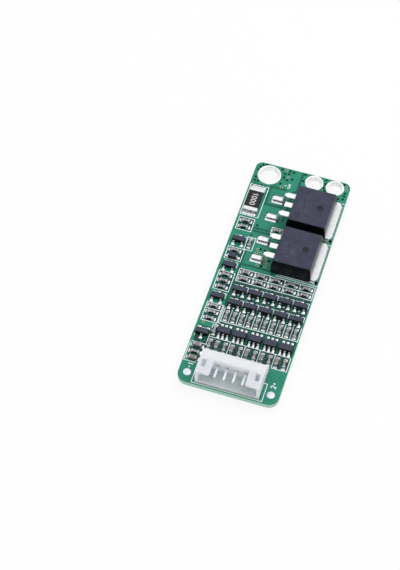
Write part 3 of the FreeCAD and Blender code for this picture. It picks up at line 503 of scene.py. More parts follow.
def strip(line, width, bottom, height):
    """A flat strip along a line of points. Each point is pushed to both sides along the bisector
    of its two runs, further at a turn, so that the strip keeps its width. A line that ends where
    it starts becomes a loop."""
    line = np.asarray(line, float)
    runs = np.diff(line, axis=0)
    runs /= np.linalg.norm(runs, axis=1, keepdims=True)
    closed = np.allclose(line[0], line[-1])
    before = np.vstack([runs[-1:] if closed else runs[:1], runs])
    after = np.vstack([runs, runs[:1] if closed else runs[-1:]])
    bisector = before + after
    bisector /= np.linalg.norm(bisector, axis=1, keepdims=True)
    reach = width / 2 / (bisector * after).sum(1)
    side = np.stack([-bisector[:, 1], bisector[:, 0]], -1) * reach[:, None]
    flat = np.stack([line - side, line + side], 1)
    low = np.concatenate([flat, np.full(flat.shape[:2] + (1,), bottom)], -1)
    high = low + [0, 0, height]
    if closed:
        right_low, left_low, right_high, left_high = [
            edge[:-1, n] for edge in (low, high) for n in (0, 1)]
        return looped(np.stack([right_low, right_high, left_high, left_low], 1)[None])
    return shell(high[None], low[None])


def strips(lines, width, level, height):
    """Strips that stand on a level, sunk into it a little. Their tops lie at nine different
    heights in turn, so that lines that cross share no face."""
    step, levels = 0.0007, 9
    return joined(strip(line, width, level - SUNK, height + SUNK + step * (n % levels))
                  for n, line in enumerate(lines))


def swell(amount, power):
    """0 at both ends of 0 to 1 and 1 in between: one minus a power of the way from the middle."""
    return 1 - np.abs(2 * amount - 1) ** power


def pillows(low, high, height, steps=7):
    """A rounded swell of solder on top of each rectangle: the product of two swells, its square
    root taken so that the edge stands up."""
    across = np.linspace(0, 1, steps)
    u, v = np.meshgrid(across, across, indexing="ij")
    low, high = low[:, None, None], high[:, None, None]
    x = low[..., 0] + (high - low)[..., 0] * u
    y = low[..., 1] + (high - low)[..., 1] * v
    rise = height * np.sqrt(swell(u, 4) * swell(v, 4))
    top, base = (high[..., 2] + level for level in (rise, 0 * rise - SUNK))
    return shell(np.stack([x, y, top], -1), np.stack([x, y, base], -1))


def menisci(root, outward, width, length, height, base, steps=7):
    """Solder that has wetted up a wall: from each root point on the foot of the wall it runs
    outwards, falling from its height as the square of the way left, and thins at both sides. A
    thin film is added that falls evenly to nothing."""
    film = 0.03
    width, length, height = (np.broadcast_to(size, len(root))[:, None, None]
                             for size in (width, length, height))
    outward = np.asarray(outward, float)[:, None, None]
    side = np.stack([-outward[..., 1], outward[..., 0]], -1)
    v, u = np.meshgrid(np.linspace(0, 1, steps), np.linspace(0, 1, steps), indexing="ij")
    flat = (root[:, None, None, :2] + outward * (length * v)[..., None]
            + side * (width * (u - 0.5))[..., None])
    rise = height * (1 - v) ** 2 * swell(u, 6) + film * (1 - v)
    top, bottom = (base + level[..., None] for level in (rise, 0 * rise - SUNK))
    return shell(np.concatenate([flat, top], -1), np.concatenate([flat, bottom], -1))


def domes(centres, radius, height, steps=13, up=1):
    """Round domes: a square grid is drawn in to a disc, and rises by the root of one minus the
    squared way from the middle. With up at -1 they are turned over about the y axis."""
    across = np.linspace(-1, 1, steps)
    u, v = np.meshgrid(across, across, indexing="ij")
    x, y = u * np.sqrt(1 - v * v / 2), v * np.sqrt(1 - u * u / 2)
    rise = np.sqrt(np.clip(1 - x * x - y * y, 0, 1))
    top = np.stack([x * radius, y * radius, rise * height], -1)
    bottom = np.stack([x * radius, y * radius, 0 * x - SUNK], -1)
    centres = np.asarray(centres, float)[:, None, None, :]
    turn = np.array([up, 1, up])
    return shell(top * turn + centres, bottom * turn + centres)


def soften(node, material, edge):
    """A copy of a CAD node with its edges rounded by a width, which stands for it. Its triangles
    are merged to whole faces first."""
    work = bmesh.new()
    work.from_mesh(NODES[node].data)
    bmesh.ops.remove_doubles(work, verts=work.verts, dist=NEAR * MM)
    bmesh.ops.dissolve_limit(work, angle_limit=math.radians(1), verts=work.verts,
                             edges=work.edges)
    mesh = bpy.data.meshes.new(f"{node}_finished")
    work.to_mesh(mesh)
    work.free()
    mesh.polygons.foreach_set("use_smooth", np.ones(len(mesh.polygons), bool))
    mesh.materials.append(material)
    piece = linked(mesh.name, mesh)
    rounding = piece.modifiers.new("rounded_edges", "BEVEL")
    rounding.width = edge * MM
    rounding.segments = 2
    rounding.limit_method = "ANGLE"
    rounding.angle_limit = math.radians(30)
    shading = piece.modifiers.new("flat_faces_stay_flat", "WEIGHTED_NORMAL")
    shading.weight = 80
    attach(piece, "root")
    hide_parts(node)


def coat(node, material):
    """Give a CAD node that stays as it is its material."""
    for slot in NODES[node].material_slots:
        slot.material = material


# Plain figures for marks, each a list of lines in a cell one wide and two high
FIGURES = {
    "0": [[(0, 0.5), (0, 1.5), (0.35, 2), (0.65, 2), (1, 1.5), (1, 0.5), (0.65, 0), (0.35, 0),
           (0, 0.5)]],
    "1": [[(0.2, 1.5), (0.6, 2), (0.6, 0)]],
    "2": [[(0, 1.5), (0.3, 2), (0.7, 2), (1, 1.5), (1, 1.2), (0, 0), (1, 0)]],
    "3": [[(0, 2), (1, 2), (0.4, 1.2), (0.8, 1.1), (1, 0.6), (0.7, 0), (0.3, 0), (0, 0.4)]],
    "4": [[(0.8, 2), (0, 0.6), (1, 0.6)], [(0.8, 0), (0.8, 2)]],
    "+": [[(0, 1), (1, 1)], [(0.5, 0.5), (0.5, 1.5)]],
    "-": [[(0, 1), (1, 1)]],
}


def figures(text, middle, height, along):
    """Lines of a row of figures about a middle point. Along is the reading direction. A cell is
    two high, and each figure starts an advance after the one before."""
    along = np.asarray(along, float)
    frame_of_text = np.stack([along, [-along[1], along[0]]])
    scale = height / 2
    advance = 1.6
    start = -(advance * (len(text) - 1) + 1) / 2
    return [np.asarray(middle)[:2] + (np.array(line) + [start + advance * n, -1]) * scale
            @ frame_of_text for n, figure in enumerate(text) for line in FIGURES[figure]]


# Properties

def colour_property(name, description, hex_colour):
    """A colour that a user may change."""
    return FloatVectorProperty(name=name, description=description, subtype="COLOR", size=4,
                               min=0, max=1, default=linear(hex_colour))


def length_property(name, description, length):
    """A length that a user may change. It is given in millimetres and held in metres."""
    return FloatProperty(name=name, description=description, default=length * MM, min=0,
                         precision=5, unit="LENGTH")


def millimetres(length):
    """A length property's value in millimetres, without the last digits of a short float."""
    return round(length / MM, 4)


class BoardLook(bpy.types.PropertyGroup):
    """Colours of the laminate and sizes of what is printed on it"""
    mask_light: colour_property("Mask over copper", "Lighter tone of the mask", "#288F74")
    mask_dark: colour_property("Mask in the gaps", "Darker tone of the mask", "#218069")
    bare_and_shaded_light: colour_property("Mask over traces", "Mask between small parts", "#1B6A5E")
    bare_and_shaded_dark: colour_property("Mask over laminate", "Mask without copper", "#0C3D39")
    laminate_light: colour_property("Laminate edge", "Pale tone of the sawn edge", "#BFE3D2")
    laminate_dark: colour_property("Laminate layers", "Dark tone of the sawn edge", "#97CFB6")
    gap_width: length_property("Gap width", "Width of a line without copper", 0.55)
    legend_width: length_property("Legend width", "Width of the legend's outlines", 0.17)
    fine_width: length_property("Fine legend width", "Width of its thinner lines", 0.11)
    sign_width: length_property("Sign width", "Width of the strokes of its signs", 0.2)
    sign_height: length_property("Sign height", "Height of its signs", 1.0)


class HeaderLook(bpy.types.PropertyGroup):
    """Colours of the header's housing"""
    nylon: colour_property("Nylon", "Housing", "#F0F3FF")
    nylon_floor_and_shade: colour_property("Nylon floor", "Thin floor over the board", "#DCF6FC")


class StageLook(bpy.types.PropertyGroup):
    """Light on the board"""
    sky: FloatProperty(name="Sky", description="Strength of the plain sky", default=0.95,
                       min=0, max=2)
    key: FloatProperty(name="Key", description="Power of the large lamp", default=0.25,
                       min=0, unit="POWER")
    key_size: length_property("Key size", "Diameter of the large lamp", 220)


# Laminate, vias and terminals

class BOARD_OT_laminate(bpy.types.Operator):
    """Green mask on the laminate, with the darker lines where its copper is parted"""
    bl_idname = "board.laminate"
    bl_label = "Laminate"

    # Lines without copper under the mask
    GAPS = [
        [(-2.5, 24.0), (-6.1, 24.0), (-6.1, 19.0), (-2.0, 19.0)],
        [(-6.6, 12.0), (-2.5, 12.0)],
        [(-6.6, 11.2), (-2.5, 11.2)],
        [(-6.5, 1.95), (0.2, 1.95), (1.0, 1.2)],
        [(-6.5, 10.2), (-6.5, -13.5)],
        [(-0.2, 29.9), (-0.2, 24.4), (-1.0, 23.6), (-1.0, 15.2)],
        [(-6.6, -21.8), (-6.6, -19.4), (-7.4, -18.2)],
    ]
    # Upper and lower ends of the two lines between neighbouring cells
    BETWEEN_CELLS = ((-3.9, -9.6), (-14.0, -17.6))

    def execute(self, context):
        coat("circuit_board", solder_mask())
        lines = self.GAPS + [[(x + HALF_PITCH, start), (x + HALF_PITCH, end)]
                             for x in CELLS[:-1] for start, end in self.BETWEEN_CELLS]
        width = millimetres(context.scene.board_look.gap_width)
        gaps = strips(lines, width, level=TOP, height=0.008)
        add_piece("copper_gaps", *gaps, mask_over_laminate(), smooth=False)
        return {"FINISHED"}


class BOARD_OT_vias(bpy.types.Operator):
    """Small plated holes: a rim, and a dark mouth of painted shade, on both faces of the laminate"""
    bl_idname = "board.vias"
    bl_label = "Vias"

    LACQUERED = [
        (-9.55, 29.35), (-8.75, 29.6), (-10.0, 28.65), (-10.25, 27.75), (-10.2, 25.65),
        (-10.15, 24.65), (-9.4, 24.6), (-10.0, 23.65), (-9.15, 23.65), (-8.25, 23.65),
        (-7.35, 23.65), (-6.55, 23.05), (-5.0, 29.4), (-3.2, 29.4), (-2.3, 29.3), (-4.1, 28.35),
        (-3.2, 28.55), (-4.1, 27.3), (-2.15, 27.3), (-3.2, 26.8), (-4.35, 25.4), (0.4, 29.5),
        (0.3, 27.65), (5.2, 29.5), (5.25, 28.4), (5.2, 27.2), (5.6, 26.5), (9.1, 25.2),
        (9.5, 29.5), (10.2, 27.2), (10.2, 26.35), (10.15, 25.45), (-3.4, 6.85), (-2.45, 6.75),
        (-0.8, 4.4), (-2.05, 2.55), (-6.95, 4.8), (-6.9, 4.05), (-6.7, 3.0), (-9.6, -11.2),
        (-6.0, 12.8)]
    TINNED = [
        (-4.05, 29.4), (-3.2, 27.65), (-3.85, 24.5), (10.0, 29.1), (10.2, 28.2), (-4.05, 6.72),
        (-3.98, 5.8), (-3.15, 5.8), (-1.57, 4.8), (-1.5, 3.87), (-0.75, 3.5), (-2.93, 2.58),
        (-1.2, 2.75), (-9.7, -14.7)]
    # Radii. The dark mouth, painted shade of the hole, is a little wider than the hole
    HOLE, MOUTH = 0.2, 0.21
    LACQUERED_RIM, TINNED_RIM = 0.34, 0.33
    # From the middle of a switch transistor down to the filled via between its two leads
    TO_FILLED = 1.0

    def rim(self, outside, up):
        """Outline of a rim, in radius and height. Turned over, it runs the other way round."""
        slope, root = 0.03, -0.01
        outline = np.array([(self.HOLE, root), (outside, root), (outside - slope, 0.015),
                            (self.HOLE + slope, 0.018)])
        return outline[::up] * [1, up]

    def execute(self, context):
        groups = (("lacquered", self.LACQUERED, self.LACQUERED_RIM, mask_over_laminate()),
                  ("tinned", self.TINNED, self.TINNED_RIM, via_tin()))
        for name, places, outside, material in groups:
            rims, mouths = [], []
            for level, up in ((TOP, 1), (0.0, -1)):
                centres = np.column_stack([places, np.full(len(places), level)])
                rims.append(turned(self.rim(outside, up), centres, sides=16))
                # Painted shade: a dark disc over each hole stands for the shade inside it
                mouths.append(domes(centres, self.MOUTH, height=0.012, steps=5, up=up))
            add_piece(f"{name}_via_rims", *joined(rims), material)
            add_piece(f"{name}_via_mouths", *joined(mouths), via_shade(), smooth=False)
        centres = np.array([centre(part) for part in HIGH_SWITCHES + LOW_SWITCHES])
        centres[:, 1] -= self.TO_FILLED
        centres[:, 2] = TOP
        filled = domes(centres, radius=0.24, height=0.04, steps=7)
        add_piece("filled_vias", *filled, levelled_tin())
        return {"FINISHED"}


class BOARD_OT_terminals(bpy.types.Operator):
    """Tinned holes for the heavy wires and tinned pads for the sense wires"""
    bl_idname = "board.terminals"
    bl_label = "Terminals"

    # The ring's swell is as wide on every terminal. Its edge stands up by a hair
    RING_WIDTH = 0.5
    RING_HEIGHT = 0.11
    RING_EDGE = 0.005
    # The swell on a sense pad leaves a narrow rim of the pad free
    PAD_SHARE = 0.98

    def execute(self, context):
        rings = []
        for node in TERMINALS:
            coat(node, terminal_tin())
            low, high = span(node)
            outer = (high[0] - low[0]) / 2
            way = np.linspace(0, 1, 7)
            radius = outer - self.RING_WIDTH * (1 - way)
            rise = self.RING_HEIGHT * np.sqrt(swell(way, 2)) + self.RING_EDGE
            arch = np.column_stack([radius, rise])[::-1]
            foot = [(radius[0], -SUNK), (outer, -SUNK)]
            for level, up in ((SEAT, 1), (0.0, -1)):
                profile = np.vstack([arch, foot])[::up] * [1, up] + [0, level]
                rings.append(turned(profile, [[*centre(node)[:2], 0.0]], sides=72))
        add_piece("terminal_tinning", *joined(rings), terminal_tin())
        low, high = solids("sense_pads")
        middles = (low + high) / 2
        middles[:, 2] = SEAT
        radius = (high - low)[0, 0] / 2 * self.PAD_SHARE
        coat("sense_pads", levelled_tin())
        add_piece("sense_pad_solder", *domes(middles, radius, height=0.08), levelled_tin())
        return {"FINISHED"}


# Legend

class BOARD_OT_legend(bpy.types.Operator):
    """The white printed legend: outlines of the parts, signs and plain figures"""
    bl_idname = "board.legend"
    bl_label = "Legend"

    BOXES = [(-10.6, -6.45, 14.75, 23.4), (-10.4, -6.9, 10.65, 14.05), (-6.95, -5.2, 5.8, 9.25),
             (-10.4, -6.75, 2.35, 5.65), (-10.35, -6.85, -5.95, -1.05),
             (-10.35, -6.85, -14.3, -9.6), (-2.6, -0.05, 11.65, 13.3)]
    LINES = [[(1.7, 1.2), (11.0, 1.2)], [(10.3, 24.2), (11.0, 24.2)], [(10.2, 12.4), (11.0, 12.4)],
             [(-10.35, -11.15), (-6.85, -11.15)],
             [(-6.6, -9.6), (-6.6, -14.1), (-6.0, -14.1)],
             [(-7.4, -14.6), (-7.4, -15.8)], [(-7.4, -17.3), (-7.4, -20.0), (-10.6, -20.0)],
             [(-10.75, -20.2), (-10.75, -24.9), (-8.0, -24.9)],
             [(-10.5, -18.0), (-10.5, -18.6)], [(-7.5, -16.2), (-7.2, -16.2)],
             [(-10.6, -16.2), (-10.1, -16.2)], [(-9.5, -16.2), (-8.6, -16.2)],
             [(-7.0, -25.3), (-7.6, -25.3), (-7.6, -29.65), (7.75, -29.65), (7.75, -25.3),
              (6.9, -25.3)]]
    # Dash and hook above a part with three leads, from its middle
    PART_LINES = ([(-1.5, 1.3), (-0.6, 1.3)], [(0.95, 1.3), (1.65, 1.3), (1.65, 0)])
    # How far the frame round a row of chips reaches above and below it
    FRAMES = {"bleed_resistor_bodies": (0.45, 0.4), "divider_resistor_terminals": (1.05, 0.85),
              "filter_resistor_terminals": (1.1, 0.75)}
    # How far frames reach left of the first cell and right of the last
    FRAME_LEFT, FRAME_RIGHT = 1.65, 1.75
    # Bars stand this far right of halfway between two cells, in the two upper frames
    BLEED_SHIFT, DIVIDER_SHIFT = 0.2, 0.05
    # The frame of the filter chips starts here. Its bars stand this far right of the middles of
    # the chips, which are twice the last length wide
    FILTER_LEFT, FILTER_SHIFT, HALF_CHIP = -7.4, 4.15, 0.4
    # Plain figures, their middles, and the way they read
    SIGNS = (("1-", (-9.1, -25.8), (0, -1)), ("2+", (9.1, -25.2), (0, 1)),
             ("-3", (-2.7, 25.2), (1, 0)))

    def frame_sides(self, chips):
        """Upper and lower side of the frame round a row of chips."""
        low, high = span(chips)
        above, below = self.FRAMES[chips]
        return high[1] + above, low[1] - below

    def outlines(self):
        """Dash and hook above each three-lead part, and frames round the rows of chips."""
        lines = list(self.LINES)
        lines += [[(a, c), (b, c), (b, d), (a, d), (a, c)] for a, b, c, d in self.BOXES]
        lines += [centre(part)[:2] + line for part in HIGH_SWITCHES + LOW_SWITCHES + CONTROLS[:3]
                  for line in self.PART_LINES]
        left, right = CELLS[0] - self.FRAME_LEFT, CELLS[-1] + self.FRAME_RIGHT
        halfway = np.array(CELLS[:-1]) + HALF_PITCH
        upper, lower = self.frame_sides("bleed_resistor_bodies")
        bars = halfway + self.BLEED_SHIFT
        middle = centre("bleed_resistor_bodies")[1]
        lines += [[(left, y), (right, y)] for y in (upper, middle, lower)]
        lines += [[(x, upper), (x, lower)] for x in (left, right, *bars)]
        upper, lower = self.frame_sides("divider_resistor_terminals")
        lines += [[(left, upper), (left, lower), (right, lower), (right, upper)]]
        lines += [[(x, upper), (x, lower)] for x in halfway + self.DIVIDER_SHIFT]
        upper, lower = self.frame_sides("filter_resistor_terminals")
        low, high = span("filter_resistor_terminals")
        first, last = low[0] + self.HALF_CHIP, high[0] - self.HALF_CHIP
        bars = np.linspace(first, last, 6)[:5] + self.FILTER_SHIFT
        lines += [[(self.FILTER_LEFT, upper), (bars[-1], upper), (bars[-1], lower),
                   (bars[-2], lower)]]
        lines += [[(x, upper), (x, lower)] for x in bars[:-1]]
        return lines

    def fine_lines(self):
        """Thinner lines between the two divider chips of a cell."""
        upper, lower = self.frame_sides("divider_resistor_terminals")
        return [[(x, upper), (x, lower)] for x in CELLS]

    def execute(self, context):
        look = context.scene.board_look
        high = millimetres(look.sign_height)
        signs = [line for text, middle, along in self.SIGNS
                 for line in figures(text, middle, high, along)]
        legend = joined(strips(lines, millimetres(width), level=TOP, height=height)
                        for lines, width, height in (
                            (self.outlines(), look.legend_width, 0.02),
                            (self.fine_lines(), look.fine_width, 0.018),
                            (signs, look.sign_width, 0.02)))
        add_piece("printed_legend", *legend, legend_ink(), smooth=False)
        return {"FINISHED"}


# Solder

def nearest(middles, centres):
    """For every middle the nearest centre, as the way from it."""
    gap = middles[:, None] - centres[None]
    return gap[np.arange(len(gap)), np.linalg.norm(gap, axis=-1).argmin(1)]


def at_ends(middles, size, way):
    """The middles of boxes moved out along the way to their end faces."""
    return middles + np.column_stack([way * size[:, :2] / 2, np.zeros(len(way))])


def chip_ends(kind):
    """For every end cap of the chips of a kind: foot of its outer face, way out, width, height."""
    low, high = solids(f"{kind}_terminals")
    body_low, body_high = solids(f"{kind}_bodies" if kind != "shunt" else "shunt_body")
    caps, size = (low + high) / 2, high - low
    way = np.sign(np.round(nearest(caps, (body_low + body_high) / 2)[:, :2], 2))
    width = np.where(way[:, 0] != 0, size[:, 1], size[:, 0])
    return at_ends(caps, size, way), way, width, size[:, 2]


def feet(leads, bodies):
    """For every bent lead of small parts: middle of its toe, and the way it points."""
    low, high = solids(leads)
    middles, size = (low + high) / 2, high - low
    off = nearest(middles, np.array([centre(body) for body in bodies]))
    lengthways = size[:, 1] > size[:, 0]
    way = np.sign(off[:, :2]) * np.column_stack([~lengthways, lengthways])
    return at_ends(middles, size, way), way


class BOARD_OT_solder(bpy.types.Operator):
    """Reflowed solder on the lands and up the ends and feet of the parts"""
    bl_idname = "board.solder"
    bl_label = "Solder"

    CHIPS = ("bleed_resistor", "divider_resistor", "filter_resistor", "control_resistor",
             "capacitor", "shunt")
    LEADS = {"switch_transistor_high_leads": HIGH_SWITCHES,
             "switch_transistor_low_leads": LOW_SWITCHES, "control_transistor_leads": CONTROLS,
             "cell_monitor_leads": MONITORS, "clamp_diode_leads": ["clamp_diode"]}
    # A land at least this long lies under a power part, and carries a flat layer
    BROAD = 2.0
    # At a chip's end: shares of its width and of its height, and the run out over the land
    END_WIDTH, END_RISE, END_RUN = 0.98, 0.75, 0.6
    # At the toe of a small lead: width, run and rise
    TOE = (0.44, 0.3, 0.12)
    # At a power transistor's plate and at its feet: how far in from the outer end the middle of
    # the side joints lies, their width, the end joint's share of the end, run and rise
    PLATE_JOINT = (1.0, 1.6, 0.85, 0.12, 0.5)
    FOOT_JOINT = (1.3, 2.2, 0.6, 0.1, 0.08)
    # A solid of a power transistor's metal lies on the board if it starts less than TOUCH above
    # it, and is then the plate if it is lower than PLATE_HEIGHT, else a lead
    TOUCH, PLATE_HEIGHT = 0.1, 2.0

    def power_joints(self):
        """Solder round the feet and the plates of the power transistors."""
        for place in POWER_PLACES:
            low, high = solids(f"mosfet_leadframe_{place}")
            on_board = low[:, 2] < SEAT + self.TOUCH
            for start, end in zip(low[on_board], high[on_board]):
                plate = end[2] - start[2] < self.PLATE_HEIGHT
                out, outer = (1, end[0]) if plate else (-1, start[0])
                inward, reach, share, run, rise = self.PLATE_JOINT if plate else self.FOOT_JOINT
                side = outer - out * inward
                roots = np.array([[side, start[1], 0], [side, end[1], 0],
                                  [outer, (start[1] + end[1]) / 2, 0]])
                widths = [reach, reach, (end[1] - start[1]) * share]
                yield menisci(roots, [[0, -1], [0, 1], [out, 0]], widths, run, rise, SEAT)

    def execute(self, context):
        coat("solder_lands", levelled_tin())
        low, high = solids("solder_lands")
        small = (high - low)[:, :2].max(1) < self.BROAD
        at_chips = []
        for kind in self.CHIPS:
            root, way, width, height = chip_ends(kind)
            at_chips.append(menisci(root, way, width * self.END_WIDTH, self.END_RUN,
                                    height * self.END_RISE, SEAT))
        at_leads = [pillows(low[small], high[small], height=0.06)]
        at_leads += [menisci(*feet(*group), *self.TOE, SEAT) for group in self.LEADS.items()]
        at_power = [pillows(low[~small], high[~small], height=0.02), *self.power_joints()]
        add_piece("chip_joints", *joined(at_chips), dull_solder())
        add_piece("lead_joints", *joined(at_leads), solder())
        add_piece("power_joints", *joined(at_power), solder())
        return {"FINISHED"}


# Small parts

class BOARD_OT_chips(bpy.types.Operator):
    """Chip resistors, capacitors and the shunt, with their printed values"""
    bl_idname = "board.chips"
    bl_label = "Chips"

    VALUES = {"bleed_resistor": "102", "divider_resistor": "103", "filter_resistor": "201",
              "control_resistor": "304"}
    # The level that the print stands on is this far below the top of the glaze
    PRINT_DEPTH = 0.002

    def execute(self, context):
        meshes = []
        for kind, value in self.VALUES.items():
            soften(f"{kind}_bodies", resistor_glaze(), edge=0.04)
            soften(f"{kind}_terminals", chip_plating(), edge=0.05)
            for start, end in zip(*solids(f"{kind}_bodies")):
                along = (1, 0) if end[0] - start[0] > end[1] - start[1] else (0, 1)
                lines = figures(value, (start + end) / 2, 0.42, along)
                meshes.append(strips(lines, 0.07, end[2] - self.PRINT_DEPTH, 0.008))
        soften("capacitor_bodies", capacitor_ceramic(), edge=0.07)
        soften("capacitor_terminals", chip_plating(), edge=0.09)
        soften("shunt_body", resistor_glaze(), edge=0.06)
        soften("shunt_terminals", plated_lead(), edge=0.08)
        lines = figures("1000", centre("shunt_body"), 1.1, (0, -1))
        top = span("shunt_body")[1][2]
        meshes.append(strips(lines, 0.17, top - self.PRINT_DEPTH, 0.012))
        add_piece("printed_values", *joined(meshes), resistor_print(), smooth=False)
        return {"FINISHED"}


class BOARD_OT_moulded_parts(bpy.types.Operator):
    """The small moulded parts and their bent leads"""
    bl_idname = "board.moulded_parts"
    bl_label = "Moulded parts"

    def execute(self, context):
        for node in sorted(NODES):
            if node.endswith("_leads"):
                soften(node, plated_lead(), edge=0.03)
            elif node.startswith(("switch_transistor", "control_transistor", "cell_monitor",
                                  "clamp_diode")):
                soften(node, small_epoxy(), edge=0.05)
        return {"FINISHED"}


class BOARD_OT_power_transistors(bpy.types.Operator):
    """The two power transistors, their plates and leads"""
    bl_idname = "board.power_transistors"
    bl_label = "Power transistors"

    # The round recess that an ejector pin leaves, from the far corner of the body
    MARK_OFFSET = np.array([2.6, 5.1])
    MARK_DEPTH = 0.1
    MARK_RADIUS = 0.69
    # Rows of laser-marked figures: their middles from the middle of the body. The level that
    # they stand on is LASER_DEPTH below its top
    ROWS = {"1234": (-2.6, -0.8), "0012": (-0.8, -0.8)}
    LASER_DEPTH = 0.004

    def execute(self, context):
        top = span("mosfet_body_low")[1][2]
        lines, spots = [], []
        for place in POWER_PLACES:
            body = f"mosfet_body_{place}"
            coat(body, power_epoxy())
            soften(f"mosfet_leadframe_{place}", plated_leadframe(), edge=0.06)
            for text, offset in self.ROWS.items():
                lines += figures(text, centre(body)[:2] + offset, 1.0, (0, 1))
            spots.append([*(span(body)[1][:2] - self.MARK_OFFSET), top - self.MARK_DEPTH])
        marks = strips(lines, 0.11, top - self.LASER_DEPTH, 0.006)
        add_piece("laser_marks", *marks, laser_mark(), smooth=False)
        discs = domes(spots, self.MARK_RADIUS, height=0.012)
        add_piece("ejector_marks", *discs, polished_epoxy())
        return {"FINISHED"}


class BOARD_OT_header(bpy.types.Operator):
    """The six-pin header, its pins and its solder joints under the board"""
    bl_idname = "board.header"
    bl_label = "Header"

    # Radius of a joint at its tip, and of the bore in it that the pin fills
    NECK = 0.34
    CORE = 0.2

    def execute(self, context):
        coat("header_housing", nylon())
        for n in range(1, 7):
            soften(f"header_pin_{n}", plated_lead(), edge=0.04)
        low, high = solids("header_solder_joints")
        middles = (low + high) / 2
        middles[:, 2] = 0
        tall, foot = -low[0, 2], (high - low)[0, 0] / 2
        # From the tip to the board the radius grows as the square of the way
        way = np.linspace(0, 1, 8)
        curve = np.column_stack([self.NECK + (foot - self.NECK) * way ** 2, tall * (way - 1)])
        profile = np.vstack([(self.CORE, -tall), curve, (self.CORE, 0)])
        joints = add_piece("header_joints_finished", *turned(profile, middles, sides=24),
                           solder())
        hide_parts("header_solder_joints")
        return {"FINISHED"}


# Stage

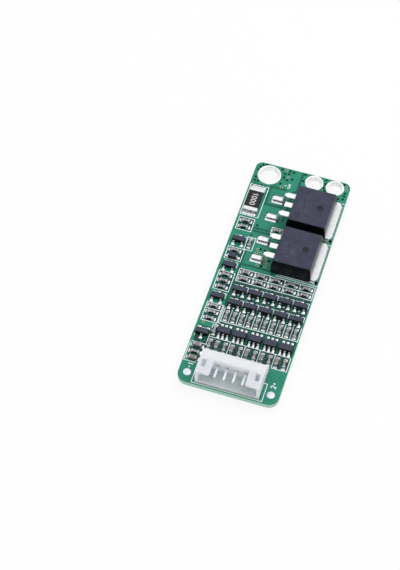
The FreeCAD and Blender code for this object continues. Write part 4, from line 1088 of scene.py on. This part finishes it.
class BOARD_OT_stage(bpy.types.Operator):
    """Plain pale floor, soft light and the camera"""
    bl_idname = "board.stage"
    bl_label = "Stage"

    # Where the camera stands, in millimetres, and its own right, down and forward directions
    CAMERA_PLACE = (46.909, -194.683, 302.603)
    CAMERA_RIGHT = (0.9516832, 0.3070727, 0.0023342)
    CAMERA_DOWN = (0.2579086, -0.7951413, -0.5488475)
    CAMERA_AHEAD = (-0.1666801, 0.5229310, -0.8359192)
    # Focal length in widths of a pixel, for a picture 570 pixels high
    FOCAL_PIXELS = 1669.96
    PICTURE_HEIGHT = 570
    SENSOR = 36.0
    KEY_PLACE = (150, 150, 310)
    FLOOR_HALF = 400.0
    # Share of the floor that glows white to the camera and in reflections
    GLOW = 0.88
    # The sky brightens with height, to which the way to the back adds this share
    LEAN = 0.35
    # Heights between which the sky goes from dim to bright, and how dim, as light and in mirrors
    LIT_FROM, LIT_TO, LIT_DIM = -0.1, 0.8, 0.78
    MIRROR_FROM, MIRROR_TO, MIRROR_DIM = -0.1, 0.5, 0.2

    def stand(self, thing, place, right, up, back):
        """Put a thing at a place in millimetres, turned to its own three directions."""
        turn = Matrix(np.array([right, up, back]).T.tolist()).to_4x4()
        turn.translation = np.array(place) * MM
        thing.matrix_world = turn

    def add_camera(self):
        """The camera that took the photograph, as worked out from parts of standard size."""
        data = bpy.data.cameras.new("camera")
        data.sensor_fit = "VERTICAL"
        data.sensor_height = self.SENSOR
        data.lens = self.FOCAL_PIXELS * self.SENSOR / self.PICTURE_HEIGHT
        data.clip_start = 1 * MM
        camera = linked("camera", data)
        self.stand(camera, self.CAMERA_PLACE, self.CAMERA_RIGHT, -np.array(self.CAMERA_DOWN),
                   -np.array(self.CAMERA_AHEAD))
        bpy.context.scene.camera = camera

    def add_lamp(self, look):
        """A large round lamp that faces the middle of the board."""
        data = bpy.data.lights.new("key", "AREA")
        data.shape = "DISK"
        data.size = look.key_size
        data.energy = look.key
        back = np.array(self.KEY_PLACE) / np.linalg.norm(self.KEY_PLACE)
        right = np.cross([0, 1, 0], back)
        right /= np.linalg.norm(right)
        self.stand(linked("key", data), self.KEY_PLACE, right, np.cross(back, right), back)

    def add_floor(self):
        """White paper, which looks plain white to the camera and still takes the shadow."""
        material, tree, shader, place = start_material("white_paper_floor", 0.9)
        rays = add(tree, "LightPath").node.outputs
        seen = 0.0
        for ray in ("Is Camera Ray", "Is Glossy Ray", "Is Transmission Ray"):
            seen = add(tree, "Math", {0: seen, 1: rays[ray]}, operation="MAXIMUM")
        paint(tree, shader, seen, linear("#CCCCCC"), linear("#F8F8F8"))
        glow = add(tree, "Emission", {"Color": (1, 1, 1, 1), "Strength": 1.0})
        share = add(tree, "Math", {0: seen, 1: self.GLOW}, operation="MULTIPLY")
        both = add(tree, "MixShader", {0: share, 1: shader.outputs[0], 2: glow})
        tree.links.new(both, tree.nodes["Material Output"].inputs["Surface"])
        steps = np.linspace(-self.FLOOR_HALF, self.FLOOR_HALF, 9)
        x, y = np.meshgrid(steps, steps, indexing="ij")
        points = np.stack([x, y, np.full(x.shape, FLOOR)], -1).reshape(-1, 3)
        add_surface("floor", points, grid(*x.shape)[1], material, smooth=False)

    def add_sky(self, strength):
        """A sky that is brightest overhead and behind the board, and plain white to the camera."""
        world = bpy.data.worlds.new("white_sky")
        world.use_nodes = True
        tree = world.node_tree
        plain = tree.nodes["Background"]
        plain.inputs["Color"].default_value = (1, 1, 1, 1)
        way = add(tree, "TexCoord", output="Generated")
        parts = add(tree, "SeparateXYZ", {"Vector": way}).node.outputs
        height = add(tree, "Math", {0: parts["Y"], 1: self.LEAN, 2: parts["Z"]},
                     operation="MULTIPLY_ADD")
        lit = add(tree, "MapRange", {
            "Value": height, "From Min": self.LIT_FROM, "From Max": self.LIT_TO,
            "To Min": self.LIT_DIM * strength, "To Max": strength})
        mirrored = add(tree, "MapRange", {
            "Value": height, "From Min": self.MIRROR_FROM, "From Max": self.MIRROR_TO,
            "To Min": self.MIRROR_DIM, "To Max": 1.0})
        rays = add(tree, "LightPath").node.outputs
        # For plain numbers, a Mix node's inputs 2 and 3 are what it gives at 0 and at 1
        level = add(tree, "Mix", {0: rays["Is Glossy Ray"], 2: lit, 3: mirrored})
        through = add(tree, "Math", {0: rays["Is Camera Ray"], 1: rays["Is Transmission Ray"]},
                      operation="MAXIMUM")
        level = add(tree, "Mix", {0: through, 2: level, 3: 1.0})
        tree.links.new(level, plain.inputs["Strength"])
        bpy.context.scene.world = world

    def execute(self, context):
        look = context.scene.stage_look
        context.scene.view_settings.view_transform = "Standard"
        self.add_camera()
        self.add_floor()
        self.add_sky(look.sky)
        self.add_lamp(look)
        return {"FINISHED"}


OPERATORS = (BOARD_OT_laminate, BOARD_OT_vias, BOARD_OT_terminals, BOARD_OT_legend,
             BOARD_OT_solder, BOARD_OT_chips, BOARD_OT_moulded_parts,
             BOARD_OT_power_transistors, BOARD_OT_header, BOARD_OT_stage)
LOOKS = {"board_look": BoardLook, "header_look": HeaderLook, "stage_look": StageLook}


class BOARD_PT_panel(bpy.types.Panel):
    """The sizes and colours that may be changed, and a button for each step"""
    bl_label = "Battery management board"
    bl_idname = "BOARD_PT_panel"
    bl_space_type = "VIEW_3D"
    bl_region_type = "UI"
    bl_category = "Board"

    def draw(self, context):
        for name, group in LOOKS.items():
            for prop in group.__annotations__:
                self.layout.prop(getattr(context.scene, name), prop)
        for operator in OPERATORS:
            self.layout.operator(operator.bl_idname)


def register():
    """Register the classes, and put each group of properties on the scene."""
    for group in (*LOOKS.values(), *OPERATORS, BOARD_PT_panel):
        bpy.utils.register_class(group)
    for name, group in LOOKS.items():
        setattr(bpy.types.Scene, name, PointerProperty(type=group))


def unregister():
    """Undo what register did, last things first."""
    for name in LOOKS:
        delattr(bpy.types.Scene, name)
    for group in (BOARD_PT_panel, *OPERATORS[::-1], *LOOKS.values()):
        bpy.utils.unregister_class(group)


def main():
    register()
    for operator in OPERATORS:
        group, name = operator.bl_idname.split(".")
        getattr(getattr(bpy.ops, group), name)()


if __name__ == "__main__":
    main()
